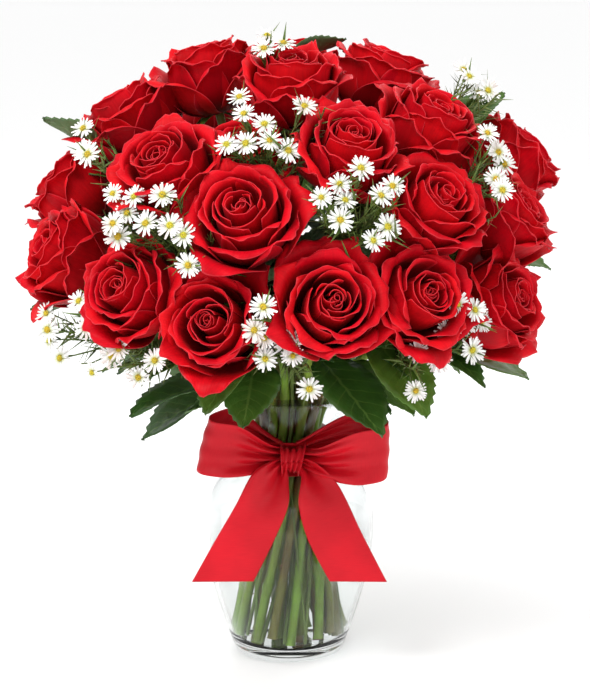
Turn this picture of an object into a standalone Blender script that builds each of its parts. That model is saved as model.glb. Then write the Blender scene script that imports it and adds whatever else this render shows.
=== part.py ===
"""Red roses and white asters in a clear glass vase, tied at the neck with a ribbon bow.

The origin is the centre of the vase's flat underside, +Z is up and the bow faces -Y.
Every stem runs from the vase's floor to the neck as one straight line. All of these lines
turn about the axis by the same angle, so the bundle keeps its layout at every height, is
narrowest at the neck, and no two stems can meet. Above the neck each stem bends out to its
bloom, in the same order round the axis. The blooms sit on a flattened dome.
Lengths are in metres, and angles are in degrees.
"""

import math
import random

import bmesh
import bpy
from mathutils import Matrix, Vector
from mathutils.geometry import interpolate_bezier

# Roses
BLOOM_DIAMETER = 0.064
BLOOM_HEIGHT = 0.050
BLOOM_GAP = 0.001
CLOSEST_ROSES = 21.8  # the angle between the two closest blooms, seen from the dome's centre
DOME_FLATNESS = 0.87
AIM_DROP = 0.085  # the blooms face away from a point this far under the dome's centre
STEM_DIAMETER = 0.0064
STEM_GAP = 0.0005
TOUCH_GAP = 0.0003  # between two pieces that rest on each other
INNER_ROSES = 4  # stems in the neck's inner ring
MIDDLE_ROSES = 8  # stems in the ring round it

# Vase
VASE_HEIGHT = 0.190
GLASS_WALL = 0.0025
GLASS_FLOOR = 0.009
BASE_RADIUS = 0.0405
BASE_ROUNDING = 0.006
BELLY_RADIUS = 0.060
BELLY_HEIGHT = 0.094
NECK_HEIGHT = 0.147
NECK_CLEARANCE = 0.0008
RIM_RADIUS = 0.046
WATER_HEIGHT = 0.097
DOME_ABOVE_RIM = 0.100

# Ribbon
RIBBON_WIDTH = 0.036
RIBBON_THICKNESS = 0.0010
KNOT_SIZE = (0.016, 0.014, 0.018)
LOOP_LENGTH = 0.064
LOOP_DEPTH = 0.024
TAIL_DROP = 0.077
TAIL_CLEARANCE = 0.004

# Leaves
LEAF_THICKNESS = 0.0010
LEAF_SHAPE = 0.66  # a leaf's width over its length

# Asters
TWIG_DIAMETER = 0.0026
BRANCH_DIAMETER = 0.0014
FLOWER_DIAMETER = 0.0145
FLOWER_DEPTH = 0.0040
HUB_RADIUS = 0.055  # where a spray forks: out from the axis
HUB_ABOVE_RIM = 0.030
CLUSTER_DEPTH = 0.022  # from a cluster's fork to its flowers

# Each rose: azimuth from the front, elevation on the dome, and how far out it sits.
ROSES = [
    (-100, 69, 1.00),
    (3, 69, 1.00),
    (99, 66, 1.00),
    (-90, 46, 1.00),
    (-37, 34, 1.00),
    (60, 46, 1.00),
    (19, 41, 1.00),
    (98, 26, 1.12),
    (41, 23, 1.00),
    (-11, 22, 1.00),
    (-99, 18, 1.04),
    (-72, 5, 1.03),
    (-41, 0, 1.00),
    (-18, -7, 0.99),
    (10, -1, 1.01),
    (33, -1, 1.00),
    (73, 15, 1.03),
    (62, -6, 1.04),
    (-24, 51, 0.76),
    (180, 66, 0.98),
    (-143, 40, 1.00),
    (144, 40, 1.00),
    (108, 1, 1.00),
    (148, 10, 1.00),
    (-168, 8, 1.00),
    (-126, 3, 1.00),
]

# Each leaf: the rose that bears it, its place on the stem from neck to bloom, the azimuth and
# elevation in which it points, and its length.
LEAVES = [
    (15, 0.62, 42, -34, 0.078),
    (14, 0.66, -4, -34, 0.066),
    (13, 0.62, -60, -24, 0.078),
    (12, 0.42, -68, -34, 0.066),
    (14, 0.40, -38, -18, 0.060),
    (16, 0.78, 40, -20, 0.062),
    (18, 0.66, 80, -14, 0.084),
    (16, 0.52, 52, -44, 0.066),
    (12, 0.90, -92, -12, 0.058),
    (23, 0.60, 112, -24, 0.078),
    (24, 0.62, 136, -32, 0.074),
    (24, 0.46, 164, -36, 0.070),
    (25, 0.62, -166, -28, 0.080),
    (26, 0.60, -112, -26, 0.078),
    (26, 0.50, -140, -40, 0.070),
    (4, 0.86, -96, 20, 0.062),
    (6, 0.88, 104, 24, 0.062),
    (3, 0.80, 30, 62, 0.062),
    (10, 0.90, 8, 6, 0.046),
]

# Each aster spray: the azimuth of its stem, and the azimuth, elevation and reach of its clusters.
SPRAYS = [
    (-47, [(-57, -17, 0.96), (-52, 21, 0.98)]),
    (9, [(-3, -20, 0.94), (14, 20, 0.98)]),
    (57, [(47, -19, 0.96), (57, 27, 0.98)]),
    (127, [(130, -15, 0.94), (126, 24, 0.98)]),
    (-150, [(-147, -13, 0.94), (-130, 22, 0.98)]),
]

RED = (0.45, 0.004, 0.012, 1.0)
GREEN = (0.045, 0.13, 0.02, 1.0)
SPRAY_WHITE = (0.80, 0.82, 0.72, 1.0)
RIBBON_RED = (0.62, 0.012, 0.02, 1.0)
CLEAR = (0.93, 0.96, 0.95, 1.0)

SOFT_MERGE = 0.00005
UP = Vector((0, 0, 1))

# Sizes that follow from these
STEM_PITCH = STEM_DIAMETER + STEM_GAP
INNER_RING = STEM_PITCH / (2 * math.sin(math.pi / 4))
MIDDLE_RING = INNER_RING + STEM_PITCH
OUTER_RING = MIDDLE_RING + STEM_PITCH
NECK_BORE_RADIUS = OUTER_RING + STEM_DIAMETER / 2 + NECK_CLEARANCE
NECK_RADIUS = NECK_BORE_RADIUS + GLASS_WALL
BLOOM_PITCH = BLOOM_DIAMETER + BLOOM_GAP
DOME_RADIUS = BLOOM_PITCH / (2 * math.sin(math.radians(CLOSEST_ROSES) / 2))
DOME_CENTRE = Vector((0, 0, VASE_HEIGHT + DOME_ABOVE_RIM))
AIM_POINT = DOME_CENTRE - AIM_DROP * UP
FOOT_HEIGHT = GLASS_FLOOR + TOUCH_GAP
HUB_HEIGHT = VASE_HEIGHT + HUB_ABOVE_RIM


# ---- scene and materials ---------------------------------------------------------------------


def clear_scene():
    for thing in list(bpy.data.objects):
        bpy.data.objects.remove(thing)


def new_collection(name, parent):
    made = bpy.data.collections.new(name)
    parent.children.link(made)
    return made


def new_material(name, colour, roughness, transmission=0.0):
    material = bpy.data.materials.new(name)
    material.use_nodes = True
    shader = material.node_tree.nodes["Principled BSDF"]
    shader.inputs["Base Color"].default_value = colour
    shader.inputs["Roughness"].default_value = roughness
    shader.inputs["Metallic"].default_value = 0.0
    shader.inputs["Transmission Weight"].default_value = transmission
    return material


def add_object(name, mesh, collection, material):
    made = bpy.data.objects.new(name, mesh)
    collection.objects.link(made)
    if material is not None:
        mesh.materials.clear()
        mesh.materials.append(material)
    return made


def add_helper(name, mesh, collection):
    helper = add_object(name, mesh, collection, None)
    helper.hide_render = True
    helper.display_type = "WIRE"
    return helper


# ---- shared geometry -------------------------------------------------------------------------


def direction(azimuth, elevation):
    """A unit vector: azimuth 0 is the front, 90 is the right, and elevation 90 is up."""
    turn = math.radians(azimuth)
    lift = math.radians(elevation)
    return Vector((math.cos(lift) * math.sin(turn), -math.cos(lift) * math.cos(turn), math.sin(lift)))


def mesh_of_curve(name, points, radii, sides_level):
    """A closed tube through the points, as a mesh."""
    curve = bpy.data.curves.new(name, "CURVE")
    curve.dimensions = "3D"
    curve.bevel_depth = 1.0
    curve.bevel_resolution = sides_level
    curve.use_fill_caps = True
    spline = curve.splines.new("POLY")
    spline.points.add(len(points) - 1)
    for knot, point, radius in zip(spline.points, points, radii):
        knot.co = (*point, 1.0)
        knot.radius = radius
    carrier = bpy.data.objects.new(name, curve)
    bpy.context.scene.collection.objects.link(carrier)
    bpy.context.view_layer.update()
    graph = bpy.context.evaluated_depsgraph_get()
    mesh = bpy.data.meshes.new_from_object(carrier.evaluated_get(graph))
    bpy.data.objects.remove(carrier)
    shape = bmesh.new()
    shape.from_mesh(mesh)
    bmesh.ops.remove_doubles(shape, verts=shape.verts, dist=SOFT_MERGE)
    bmesh.ops.recalc_face_normals(shape, faces=shape.faces)
    shape.to_mesh(mesh)
    shape.free()
    mesh.name = name
    return mesh


def add_turned(name, profile, steps, collection, material):
    """Turns a profile of (radius, height) points, which runs down its outer side, about +Z."""
    mesh = bpy.data.meshes.new(name)
    points = [(radius, 0, height) for radius, height in profile]
    edges = [(i, i + 1) for i in range(len(points) - 1)]
    mesh.from_pydata(points, edges, [])
    made = add_object(name, mesh, collection, material)
    screw = made.modifiers.new("Turn", "SCREW")
    screw.steps = steps
    screw.render_steps = steps
    screw.use_merge_vertices = True
    screw.merge_threshold = SOFT_MERGE
    screw.use_smooth_shade = True
    return made


def along(points, share):
    """The point at this share of the way along a polyline."""
    place = share * (len(points) - 1)
    first = min(int(place), len(points) - 2)
    return points[first].lerp(points[first + 1], place - first)


def unite(target, operands):
    """Joins every object of a collection to the target."""
    union = target.modifiers.new("Unite", "BOOLEAN")
    union.operation = "UNION"
    union.operand_type = "COLLECTION"
    union.collection = operands


# ---- bundle of stems -------------------------------------------------------------------------


def on_dome(azimuth, elevation, reach):
    way = direction(azimuth, elevation)
    way.z *= DOME_FLATNESS
    return DOME_CENTRE + way * DOME_RADIUS * reach


def bloom_axis(rose):
    return (on_dome(*rose) - AIM_POINT).normalized()


def bloom_base(rose):
    """Where the stem ends and the bloom starts."""
    return on_dome(*rose) - bloom_axis(rose) * BLOOM_HEIGHT


def ring_azimuths(wanted, widths):
    """Spreads stems round a ring in the order of their azimuths, each with room for its width."""
    order = sorted(range(len(wanted)), key=lambda index: wanted[index])
    spare = (360.0 - sum(widths)) / len(order)
    places = {}
    edge = 0.0
    for index in order:
        places[index] = edge + (widths[index] + spare) / 2
        edge += widths[index] + spare
    drift = sum(wanted[index] - places[index] for index in order) / len(order)
    return [places[index] + drift for index in range(len(wanted))]


def neck_places():
    """Each rose's and each spray's (azimuth, radius) in the neck."""
    by_height = sorted(range(len(ROSES)), key=lambda index: -on_dome(*ROSES[index]).z)
    inner = by_height[:INNER_ROSES]
    middle = by_height[INNER_ROSES : INNER_ROSES + MIDDLE_ROSES]
    outer = by_height[INNER_ROSES + MIDDLE_ROSES :]
    roses = {}
    for members, radius in ((inner, INNER_RING), (middle, MIDDLE_RING)):
        widths = [360.0 / len(members)] * len(members)
        azimuths = ring_azimuths([ROSES[index][0] for index in members], widths)
        for index, azimuth in zip(members, azimuths):
            roses[index] = (azimuth, radius)
    wanted = [ROSES[index][0] for index in outer] + [spray[0] for spray in SPRAYS]
    room = [STEM_PITCH] * len(outer) + [(TWIG_DIAMETER + STEM_PITCH) / 2] * len(SPRAYS)
    widths = [math.degrees(2 * math.asin(width / 2 / OUTER_RING)) for width in room]
    azimuths = ring_azimuths(wanted, widths)
    for index, azimuth in zip(outer, azimuths):
        roses[index] = (azimuth, OUTER_RING)
    sprays = [(azimuth, OUTER_RING) for azimuth in azimuths[len(outer) :]]
    return roses, sprays


# ---- vase and water --------------------------------------------------------------------------


def outer_outline():
    """The vase's outer side from the foot to the rim, as (radius, height) points."""
    foot = Vector((BASE_RADIUS, BASE_ROUNDING))
    belly = Vector((BELLY_RADIUS, BELLY_HEIGHT))
    neck = Vector((NECK_RADIUS, NECK_HEIGHT))
    rim = Vector((RIM_RADIUS, VASE_HEIGHT))
    lower = BELLY_HEIGHT - BASE_ROUNDING
    upper = NECK_HEIGHT - BELLY_HEIGHT
    flare = VASE_HEIGHT - NECK_HEIGHT
    into_side = foot + Vector((0.45 * (BELLY_RADIUS - BASE_RADIUS), 0.28 * lower))
    under_belly = belly - Vector((0, 0.36 * lower))
    over_belly = belly + Vector((0, 0.80 * upper))
    under_neck = neck - Vector((0, 0.34 * upper))
    over_neck = neck + Vector((0, 0.20 * flare))
    into_rim = neck + Vector((0.55 * (RIM_RADIUS - NECK_RADIUS), 0.30 * flare))
    underside = Vector((BASE_RADIUS - BASE_ROUNDING, 0))
    rounding = Vector((BASE_RADIUS - 0.3 * BASE_ROUNDING, 0.3 * BASE_ROUNDING))
    points = [underside, rounding]
    points += interpolate_bezier(foot, into_side, under_belly, belly, 5)[:-1]
    points += interpolate_bezier(belly, over_belly, under_neck, neck, 7)[:-1]
    points += interpolate_bezier(neck, over_neck, into_rim, rim, 5)
    return [Vector((point.x, point.y)) for point in points]


def offset_outline(points, distance):
    """The outline moved by a distance: positive is towards the axis."""
    moved = []
    for index, point in enumerate(points):
        before = points[max(index - 1, 0)]
        after = points[min(index + 1, len(points) - 1)]
        run = (after - before).normalized()
        moved.append(point + Vector((-run.y, run.x)) * distance)
    return moved


def radius_at(points, height):
    for low, high in zip(points, points[1:]):
        if low.y <= height <= high.y:
            return low.x + (high.x - low.x) * (height - low.y) / (high.y - low.y)
    return points[-1].x if height > points[-1].y else points[0].x


def inner_outline(floor, offset):
    """The hollow's side from the floor up, moved in from the glass by the offset."""
    side = offset_outline(outer_outline(), GLASS_WALL + offset)
    corner = Vector((radius_at(side, floor + 0.003) - 0.003, floor))
    return [corner] + [point for point in side if point.y > floor + 0.002]


def add_vase(collection, material):
    inner = inner_outline(GLASS_FLOOR, 0)
    outer = outer_outline()
    profile = [(0, GLASS_FLOOR)] + [tuple(point) for point in inner]
    profile += [tuple(point) for point in reversed(outer)] + [(0, 0)]
    return add_turned("glass_vase", profile, 24, collection, material)


def add_water(collection, helpers, material, stems):
    side = inner_outline(FOOT_HEIGHT - TOUCH_GAP / 2, TOUCH_GAP)
    kept = [point for point in side if point.y < WATER_HEIGHT - 0.002]
    top = radius_at(side, WATER_HEIGHT)
    profile = [(0, WATER_HEIGHT), (top, WATER_HEIGHT)] + [tuple(point) for point in reversed(kept)]
    profile.append((0, kept[0].y))
    water = add_turned("water", profile, 24, collection, material)
    room = new_collection("stem_room_in_water", helpers)
    for name, path, radius in stems:
        mesh = mesh_of_curve(name + "_room", path[:2], [radius + TOUCH_GAP] * 2, 1)
        add_helper(name + "_room", mesh, room)
    cut = water.modifiers.new("Stems", "BOOLEAN")
    cut.operation = "DIFFERENCE"
    cut.operand_type = "COLLECTION"
    cut.collection = room
    return water


# ---- roses -----------------------------------------------------------------------------------


def stem_path(place, top, axis, rng):
    """From the vase's floor to the neck in a line, then out to the bloom."""
    azimuth, ring = place
    floor_radius = inner_outline(GLASS_FLOOR, 0)[0].x
    spread = (floor_radius - STEM_DIAMETER / 2 - 0.002) / OUTER_RING
    swirl = math.degrees(math.acos(1 / spread))
    neck = direction(azimuth, 0) * ring + UP * NECK_HEIGHT
    foot = direction(azimuth - swirl, 0) * ring * spread
    room = 0.30 * (STEM_PITCH * spread - STEM_DIAMETER)
    foot += direction(rng.uniform(0, 360), 0) * rng.uniform(0, room)
    foot.z = FOOT_HEIGHT + rng.uniform(0.0005, 0.009)
    rise = (neck - foot).normalized()
    reach = (top - neck).length
    handle = neck + rise * reach * 0.36
    last = top - axis * reach * 0.34
    return [foot] + interpolate_bezier(neck, handle, last, top, 8)


def add_bloom(name, rose, collection, material):
    """A closed cup of petals round a bud: the outer whorl's lip, a dip, and the bud's crown."""
    radius = BLOOM_DIAMETER / 2
    height = BLOOM_HEIGHT
    outline = [
        (0.00, 1.04),
        (0.46, 0.99),
        (0.62, 0.88),
        (0.92, 0.94),
        (1.00, 0.82),
        (0.84, 0.46),
        (0.34, 0.16),
        (0.16, 0.00),
        (0.00, 0.00),
    ]
    profile = [(x * radius, z * height) for x, z in outline]
    bloom = add_turned(name, profile, 10, collection, material)
    turn = bloom_axis(rose).to_track_quat("Z", "Y")
    bloom.location = bloom_base(rose) + bloom_axis(rose) * TOUCH_GAP
    bloom.rotation_euler = turn.to_euler()
    return bloom


def leaf_mesh(name, root, way, length):
    """A thin blade that narrows to a stalk at the root, folds a little along its midrib and droops."""
    shape = bmesh.new()
    rows = 6
    bmesh.ops.create_grid(shape, x_segments=rows, y_segments=2, size=0.5)
    for vert in shape.verts:
        share = vert.co.x + 0.5
        side = vert.co.y * 2
        past_stalk = min(1.0, max(0.0, share - 0.12) / 0.88)
        width = LEAF_SHAPE * length * max(0.06, math.sin(math.pi * past_stalk**0.8))
        width = max(width, 0.0020)
        droop = 0.12 * length * share**2
        vert.co = Vector((share * length, side * width / 2, abs(side) * width * 0.10 - droop))
    flat = Vector((way.x, way.y, 0)).normalized()
    across = UP.cross(flat)
    rise = way.cross(across)
    frame = Matrix((way, across, rise)).transposed().to_4x4()
    frame.translation = root
    shape.transform(frame)
    mesh = bpy.data.meshes.new(name)
    shape.to_mesh(mesh)
    shape.free()
    return mesh


def add_stem(number, path, collection, helpers, material):
    name = f"stem_{number:02d}"
    mesh = mesh_of_curve(name, path, [STEM_DIAMETER / 2] * len(path), 1)
    stem = add_object(name, mesh, collection, material)
    own = [leaf for leaf in LEAVES if leaf[0] == number]
    if not own:
        return stem
    blades = new_collection(name + "_leaves", helpers)
    for index, (_, share, azimuth, elevation, length) in enumerate(own):
        root = along(path[1:], share)
        blade = leaf_mesh(f"{name}_leaf_{index}", root, direction(azimuth, elevation), length)
        helper = add_helper(blade.name, blade, blades)
        wall = helper.modifiers.new("Thickness", "SOLIDIFY")
        wall.thickness = LEAF_THICKNESS
        wall.offset = 0
    unite(stem, blades)
    return stem


# ---- asters ----------------------------------------------------------------------------------


def flower_places(centre, axis):
    """Where a cluster's flowers sit and face: a ring of them, fanned out from the axis."""
    side = axis.cross(UP).normalized()
    lift = side.cross(axis)
    spread = FLOWER_DIAMETER * 0.78
    for turn in range(4):
        angle = math.radians(45 + 90 * turn)
        out = side * math.cos(angle) + lift * math.sin(angle)
        yield centre + out * spread, (axis + out * 0.35).normalized()


def flower_mesh(name, place, axis):
    shape = bmesh.new()
    small = FLOWER_DIAMETER * 0.14
    bmesh.ops.create_cone(
        shape, cap_ends=True, segments=6, radius1=small, radius2=FLOWER_DIAMETER / 2, depth=FLOWER_DEPTH
    )
    shape.transform(Matrix.Translation(place) @ axis.to_track_quat("Z", "Y").to_matrix().to_4x4())
    mesh = bpy.data.meshes.new(name)
    shape.to_mesh(mesh)
    shape.free()
    return mesh


def spray_path(place, wanted, rng):
    """Out from its place in the neck, turned half as far as its neighbours, so it passes between."""
    azimuth = (place[0] + wanted) / 2
    hub = direction(azimuth, 0) * HUB_RADIUS + UP * HUB_HEIGHT
    return stem_path(place, hub, direction(azimuth, 20), rng)


def add_spray(number, path, clusters, collection, helpers, material):
    name = f"aster_spray_{number}"
    stem_radii = [TWIG_DIAMETER / 2] * len(path)
    spray = add_object(name, mesh_of_curve(name, path, stem_radii, 1), collection, material)
    parts = new_collection(name + "_branches", helpers)
    hub = path[-1]
    thick = BRANCH_DIAMETER / 2
    for count, cluster in enumerate(clusters):
        centre = on_dome(*cluster)
        axis = (centre - AIM_POINT).normalized()
        fork = centre - axis * CLUSTER_DEPTH
        start = path[-2].lerp(hub, 0.3 + 0.2 * count)
        leave = hub.lerp(fork, 0.4) + UP * 0.004
        branch = [start] + interpolate_bezier(hub, leave, fork - axis * 0.02, fork, 5)
        label = f"{name}_branch_{count}"
        add_helper(label, mesh_of_curve(label, branch, [thick] * len(branch), 0), parts)
        for index, (place, facing) in enumerate(flower_places(centre, axis)):
            label = f"{name}_flower_{count}_{index}"
            stalk = [fork - axis * (0.001 + 0.0016 * index), fork + (place - fork) * 0.5, place]
            add_helper(label + "_stalk", mesh_of_curve(label, stalk, [thick * 0.8] * 3, 0), parts)
            add_helper(label, flower_mesh(label, place, facing), parts)
    unite(spray, parts)
    return spray


# ---- ribbon ----------------------------------------------------------------------------------


def strip_mesh(name, rows):
    """A cloth strip from rows of (one edge's point, the other edge's point)."""
    shape = bmesh.new()
    pairs = [(shape.verts.new(first), shape.verts.new(second)) for first, second in rows]
    for (low, high), (next_low, next_high) in zip(pairs, pairs[1:]):
        shape.faces.new((low, next_low, next_high, high))
    mesh = bpy.data.meshes.new(name)
    shape.to_mesh(mesh)
    shape.free()
    return mesh


def loop_rows(side):
    """Half of the bow: out from the knot, round, and back, taller where it is free of the knot."""
    front = -(NECK_RADIUS + TOUCH_GAP + RIBBON_THICKNESS + KNOT_SIZE[1] / 2)
    rows = []
    count = 14
    for step in range(count + 1):
        turn = math.pi * (2 * step / count - 1)
        away = 0.5 + 0.5 * math.cos(turn)
        out = LOOP_LENGTH * away**0.8
        deep = LOOP_DEPTH / 2 * math.sin(turn) * math.sqrt(away)
        half = RIBBON_WIDTH / 2 * (0.30 + 0.70 * min(1.0, 1.6 * away))
        lift = 0.010 * away
        centre = Vector((side * out, front + deep - 0.010 * away, NECK_HEIGHT + lift))
        rows.append((centre - UP * half, centre + UP * half))
    return rows


def tail_rows(side):
    """A tail that falls from the knot in front of the belly and is cut level."""
    knot = -(NECK_RADIUS + TOUCH_GAP + RIBBON_THICKNESS + KNOT_SIZE[1] / 2)
    belly = -(BELLY_RADIUS + TAIL_CLEARANCE)
    level_cut = RIBBON_WIDTH / math.cos(math.radians(30))
    shape = [
        (0.06, 0.10, 0.40, 0.00),
        (0.28, 0.28, 0.72, 0.72),
        (0.62, 0.62, 1.00, 1.00),
        (1.00, 1.06, 1.00, 1.00),
    ]
    rows = []
    for drop, out, width, forward in shape:
        middle = side * (0.004 + 0.041 * out)
        half = level_cut * width / 2
        height = NECK_HEIGHT - TAIL_DROP * drop
        front = knot + (belly - knot) * forward
        rows.append((Vector((middle + half, front, height)), Vector((middle - half, front, height))))
    return rows


def add_ribbon(collection, helpers, material):
    """A band round the neck, two loops, two tails and the knot that gathers them."""
    outline = [point for point in outer_outline() if abs(point.y - NECK_HEIGHT) < RIBBON_WIDTH * 0.36]
    inner = offset_outline(outline, -TOUCH_GAP)
    outer = offset_outline(outline, -TOUCH_GAP - RIBBON_THICKNESS)
    profile = [tuple(point) for point in inner] + [tuple(point) for point in reversed(outer)]
    ribbon = add_turned("ribbon_bow", profile + profile[:1], 24, collection, material)
    parts = new_collection("ribbon_loops_and_tails", helpers)
    for side, label in ((-1, "left"), (1, "right")):
        for kind, rows in (("loop", loop_rows(side)), ("tail", tail_rows(side))):
            strip = add_helper(f"ribbon_{label}_{kind}", strip_mesh(kind, rows), parts)
            wall = strip.modifiers.new("Thickness", "SOLIDIFY")
            wall.thickness = RIBBON_THICKNESS
            wall.offset = 0
    shape = bmesh.new()
    bmesh.ops.create_uvsphere(shape, u_segments=10, v_segments=6, radius=0.5)
    bmesh.ops.scale(shape, vec=KNOT_SIZE, verts=shape.verts)
    centre = -(NECK_RADIUS + TOUCH_GAP + RIBBON_THICKNESS / 2 + KNOT_SIZE[1] / 2)
    bmesh.ops.translate(shape, vec=(0, centre, NECK_HEIGHT), verts=shape.verts)
    knot = bpy.data.meshes.new("ribbon_knot")
    shape.to_mesh(knot)
    shape.free()
    add_helper("ribbon_knot", knot, parts)
    unite(ribbon, parts)
    return ribbon


def main():
    clear_scene()
    bouquet = new_collection("roses_in_a_vase", bpy.context.scene.collection)
    helpers = new_collection("cutters", bpy.context.scene.collection)
    rng = random.Random(7)
    petals = new_material("rose_petals", RED, 0.45)
    greens = new_material("stem_and_leaf", GREEN, 0.5)
    whites = new_material("aster_spray", SPRAY_WHITE, 0.7)
    satin = new_material("ribbon_satin", RIBBON_RED, 0.45)
    glass = new_material("clear_glass", CLEAR, 0.02, 1.0)
    liquid = new_material("water", CLEAR, 0.0, 1.0)
    roses, sprays = neck_places()
    in_water = []
    for index, rose in enumerate(ROSES):
        path = stem_path(roses[index], bloom_base(rose), bloom_axis(rose), rng)
        in_water.append((f"stem_{index + 1:02d}", path, STEM_DIAMETER / 2))
        add_stem(index + 1, path, bouquet, helpers, greens)
        add_bloom(f"bloom_{index + 1:02d}", rose, bouquet, petals)
    for index, (azimuth, clusters) in enumerate(SPRAYS):
        path = spray_path(sprays[index], azimuth, rng)
        in_water.append((f"aster_{index + 1}", path, TWIG_DIAMETER / 2))
        add_spray(index + 1, path, clusters, bouquet, helpers, whites)
    add_vase(bouquet, glass)
    add_water(bouquet, helpers, liquid, in_water)
    add_ribbon(bouquet, helpers, satin)


main()
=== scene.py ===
# %% [markdown]
# # Red roses and asters in a clear vase
# A florist's bouquet: twenty-six long-stemmed red roses and five sprays of small white
# asters stand in a blown glass vase with some water in it, and a satin ribbon is tied in a
# bow round the neck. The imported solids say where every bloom, stem and leaf is, and what
# follows makes each of them again with real petals, serrated leaves and cloth.
# %% Load the frame
import math
import random

import bmesh
import bpy
from mathutils import Matrix, Vector
from mathutils.geometry import interpolate_bezier


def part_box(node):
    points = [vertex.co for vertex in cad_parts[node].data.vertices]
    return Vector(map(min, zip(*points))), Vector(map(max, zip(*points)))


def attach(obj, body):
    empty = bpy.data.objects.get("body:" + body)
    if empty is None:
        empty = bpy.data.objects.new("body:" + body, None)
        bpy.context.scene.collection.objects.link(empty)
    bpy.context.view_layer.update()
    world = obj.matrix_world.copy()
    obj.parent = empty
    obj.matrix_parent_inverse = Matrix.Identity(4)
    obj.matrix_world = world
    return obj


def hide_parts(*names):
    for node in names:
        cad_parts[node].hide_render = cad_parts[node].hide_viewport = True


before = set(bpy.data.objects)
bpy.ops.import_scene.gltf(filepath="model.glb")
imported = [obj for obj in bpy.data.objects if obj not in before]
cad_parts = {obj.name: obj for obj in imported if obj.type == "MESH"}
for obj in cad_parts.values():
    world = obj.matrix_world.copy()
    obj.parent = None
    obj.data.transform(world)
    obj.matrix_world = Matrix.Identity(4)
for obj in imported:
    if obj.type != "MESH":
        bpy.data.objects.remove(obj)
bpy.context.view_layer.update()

UP = Vector((0, 0, 1))

# %% [markdown]
# ## The camera
# A long lens a metre and a half away keeps the blooms at the back nearly as large as those in
# front, as a catalogue picture does. The camera stands a little above the bouquet and looks
# slightly down, so the rows of blooms show their faces and the vase's foot shows its round.
# %% Camera
LENS = 115.0  # millimetres
CAMERA_PLACE = Vector((0.0043, -1.5, 0.546))
CAMERA_TILT = 12.23  # degrees down


def add_camera():
    data = bpy.data.cameras.new("camera")
    data.lens = LENS
    camera = bpy.data.objects.new("camera", data)
    camera.location = CAMERA_PLACE
    camera.rotation_euler = (math.radians(90 - CAMERA_TILT), 0, 0)
    bpy.context.scene.collection.objects.link(camera)
    bpy.context.scene.camera = camera


add_camera()
print("camera placed, with a lens of", LENS, "mm")

# %% [markdown]
# ## The lamps
# White things on white need light from everywhere, so the sky itself does most of the work.
# One wide window high on the left gives the petals a bright side and a dark side. Three soft
# lamps add the long highlights on the satin and the glass. All are wide for their distance,
# because small lamps would leave hard spots there, and a hard shadow on the floor.
# %% Sky, window and lamps
BOUQUET_MIDDLE = Vector((0, 0, 0.27))
SKY_STRENGTH = 0.84
WINDOW = dict(place=Vector((-0.5, -0.6, 1.4)), spread=75, strength=0.75)
# Each lamp: where it stands, its diameter in metres and its power in watts.
LAMPS = {
    "key lamp": (Vector((-0.9, -1.1, 1.7)), 0.7, 20),
    "fill lamp": (Vector((1.5, -1.2, 0.9)), 1.0, 5),
    "back lamp": (Vector((0.5, 1.2, 1.5)), 0.8, 9),
}


def light_sky(strength):
    world = bpy.data.worlds.new("studio")
    world.use_nodes = True
    background = world.node_tree.nodes["Background"]
    background.inputs["Color"].default_value = (1, 1, 1, 1)
    background.inputs["Strength"].default_value = strength
    bpy.context.scene.world = world


def aim_lamp(name, data, place):
    """Stands a lamp at a place and turns it to the bouquet."""
    lamp = bpy.data.objects.new(name, data)
    lamp.location = place
    lamp.rotation_euler = (place - BOUQUET_MIDDLE).to_track_quat("Z", "Y").to_euler()
    bpy.context.scene.collection.objects.link(lamp)


def add_window(place, spread, strength):
    """Light from far off and from one side, as from a tall white wall."""
    data = bpy.data.lights.new("window", "SUN")
    data.angle = math.radians(spread)
    data.energy = strength
    aim_lamp("window", data, place)


def add_lamp(name, place, size, power):
    data = bpy.data.lights.new(name, "AREA")
    data.shape = "DISK"
    data.size = size
    data.energy = power
    aim_lamp(name, data, place)


light_sky(SKY_STRENGTH)
add_window(**WINDOW)
for lamp_name, (lamp_place, lamp_size, lamp_power) in LAMPS.items():
    add_lamp(lamp_name, lamp_place, lamp_size, lamp_power)
bpy.context.scene.view_settings.view_transform = "Standard"
print("sky, window and", len(LAMPS), "lamps placed")

# %% [markdown]
# ## Building node trees
# Every finish and every repeated shape here is a tree of nodes. One helper adds a node, sets
# its options and fills its sockets: a plain value is typed in, and a socket of another node
# is linked. A tree then reads like a recipe, one line for each step.
# %% Helpers for node trees


def add_node(tree, kind, inputs=None, **options):
    """Adds a node, and sets or links its inputs by name or by number."""
    made = tree.nodes.new(kind)
    for name, value in options.items():
        setattr(made, name, value)
    for name, value in (inputs or {}).items():
        if isinstance(value, bpy.types.NodeSocket):
            tree.links.new(value, made.inputs[name])
        else:
            made.inputs[name].default_value = value
    return made


def step(tree, kind, inputs=None, **options):
    """One step of a recipe: adds a node and gives its first output."""
    return add_node(tree, kind, inputs, **options).outputs[0]


def sums(tree, operation, first, second=0.0, third=0.0, clamp=False):
    """One step of arithmetic, as the socket that holds its result."""
    values = {0: first, 1: second, 2: third}
    return step(tree, "ShaderNodeMath", values, operation=operation, use_clamp=clamp)


def scaled(tree, vector, factor):
    """A vector or a colour made larger or smaller."""
    return step(tree, "ShaderNodeVectorMath", {0: vector, "Scale": factor}, operation="SCALE")


def axes_of(tree, vector):
    """The x, y and z of a vector."""
    return add_node(tree, "ShaderNodeSeparateXYZ", {0: vector}).outputs


def from_middle(tree, value):
    """0 in the middle of a map that runs from 0 to 1, and 1 at both of its ends."""
    return sums(tree, "ABSOLUTE", sums(tree, "MULTIPLY_ADD", value, 2.0, -1.0))


def blend(tree, share, first, second):
    """Two colours mixed by a share."""
    mixed = add_node(tree, "ShaderNodeMix", {0: share, 6: first, 7: second}, data_type="RGBA")
    return mixed.outputs[2]


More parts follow.
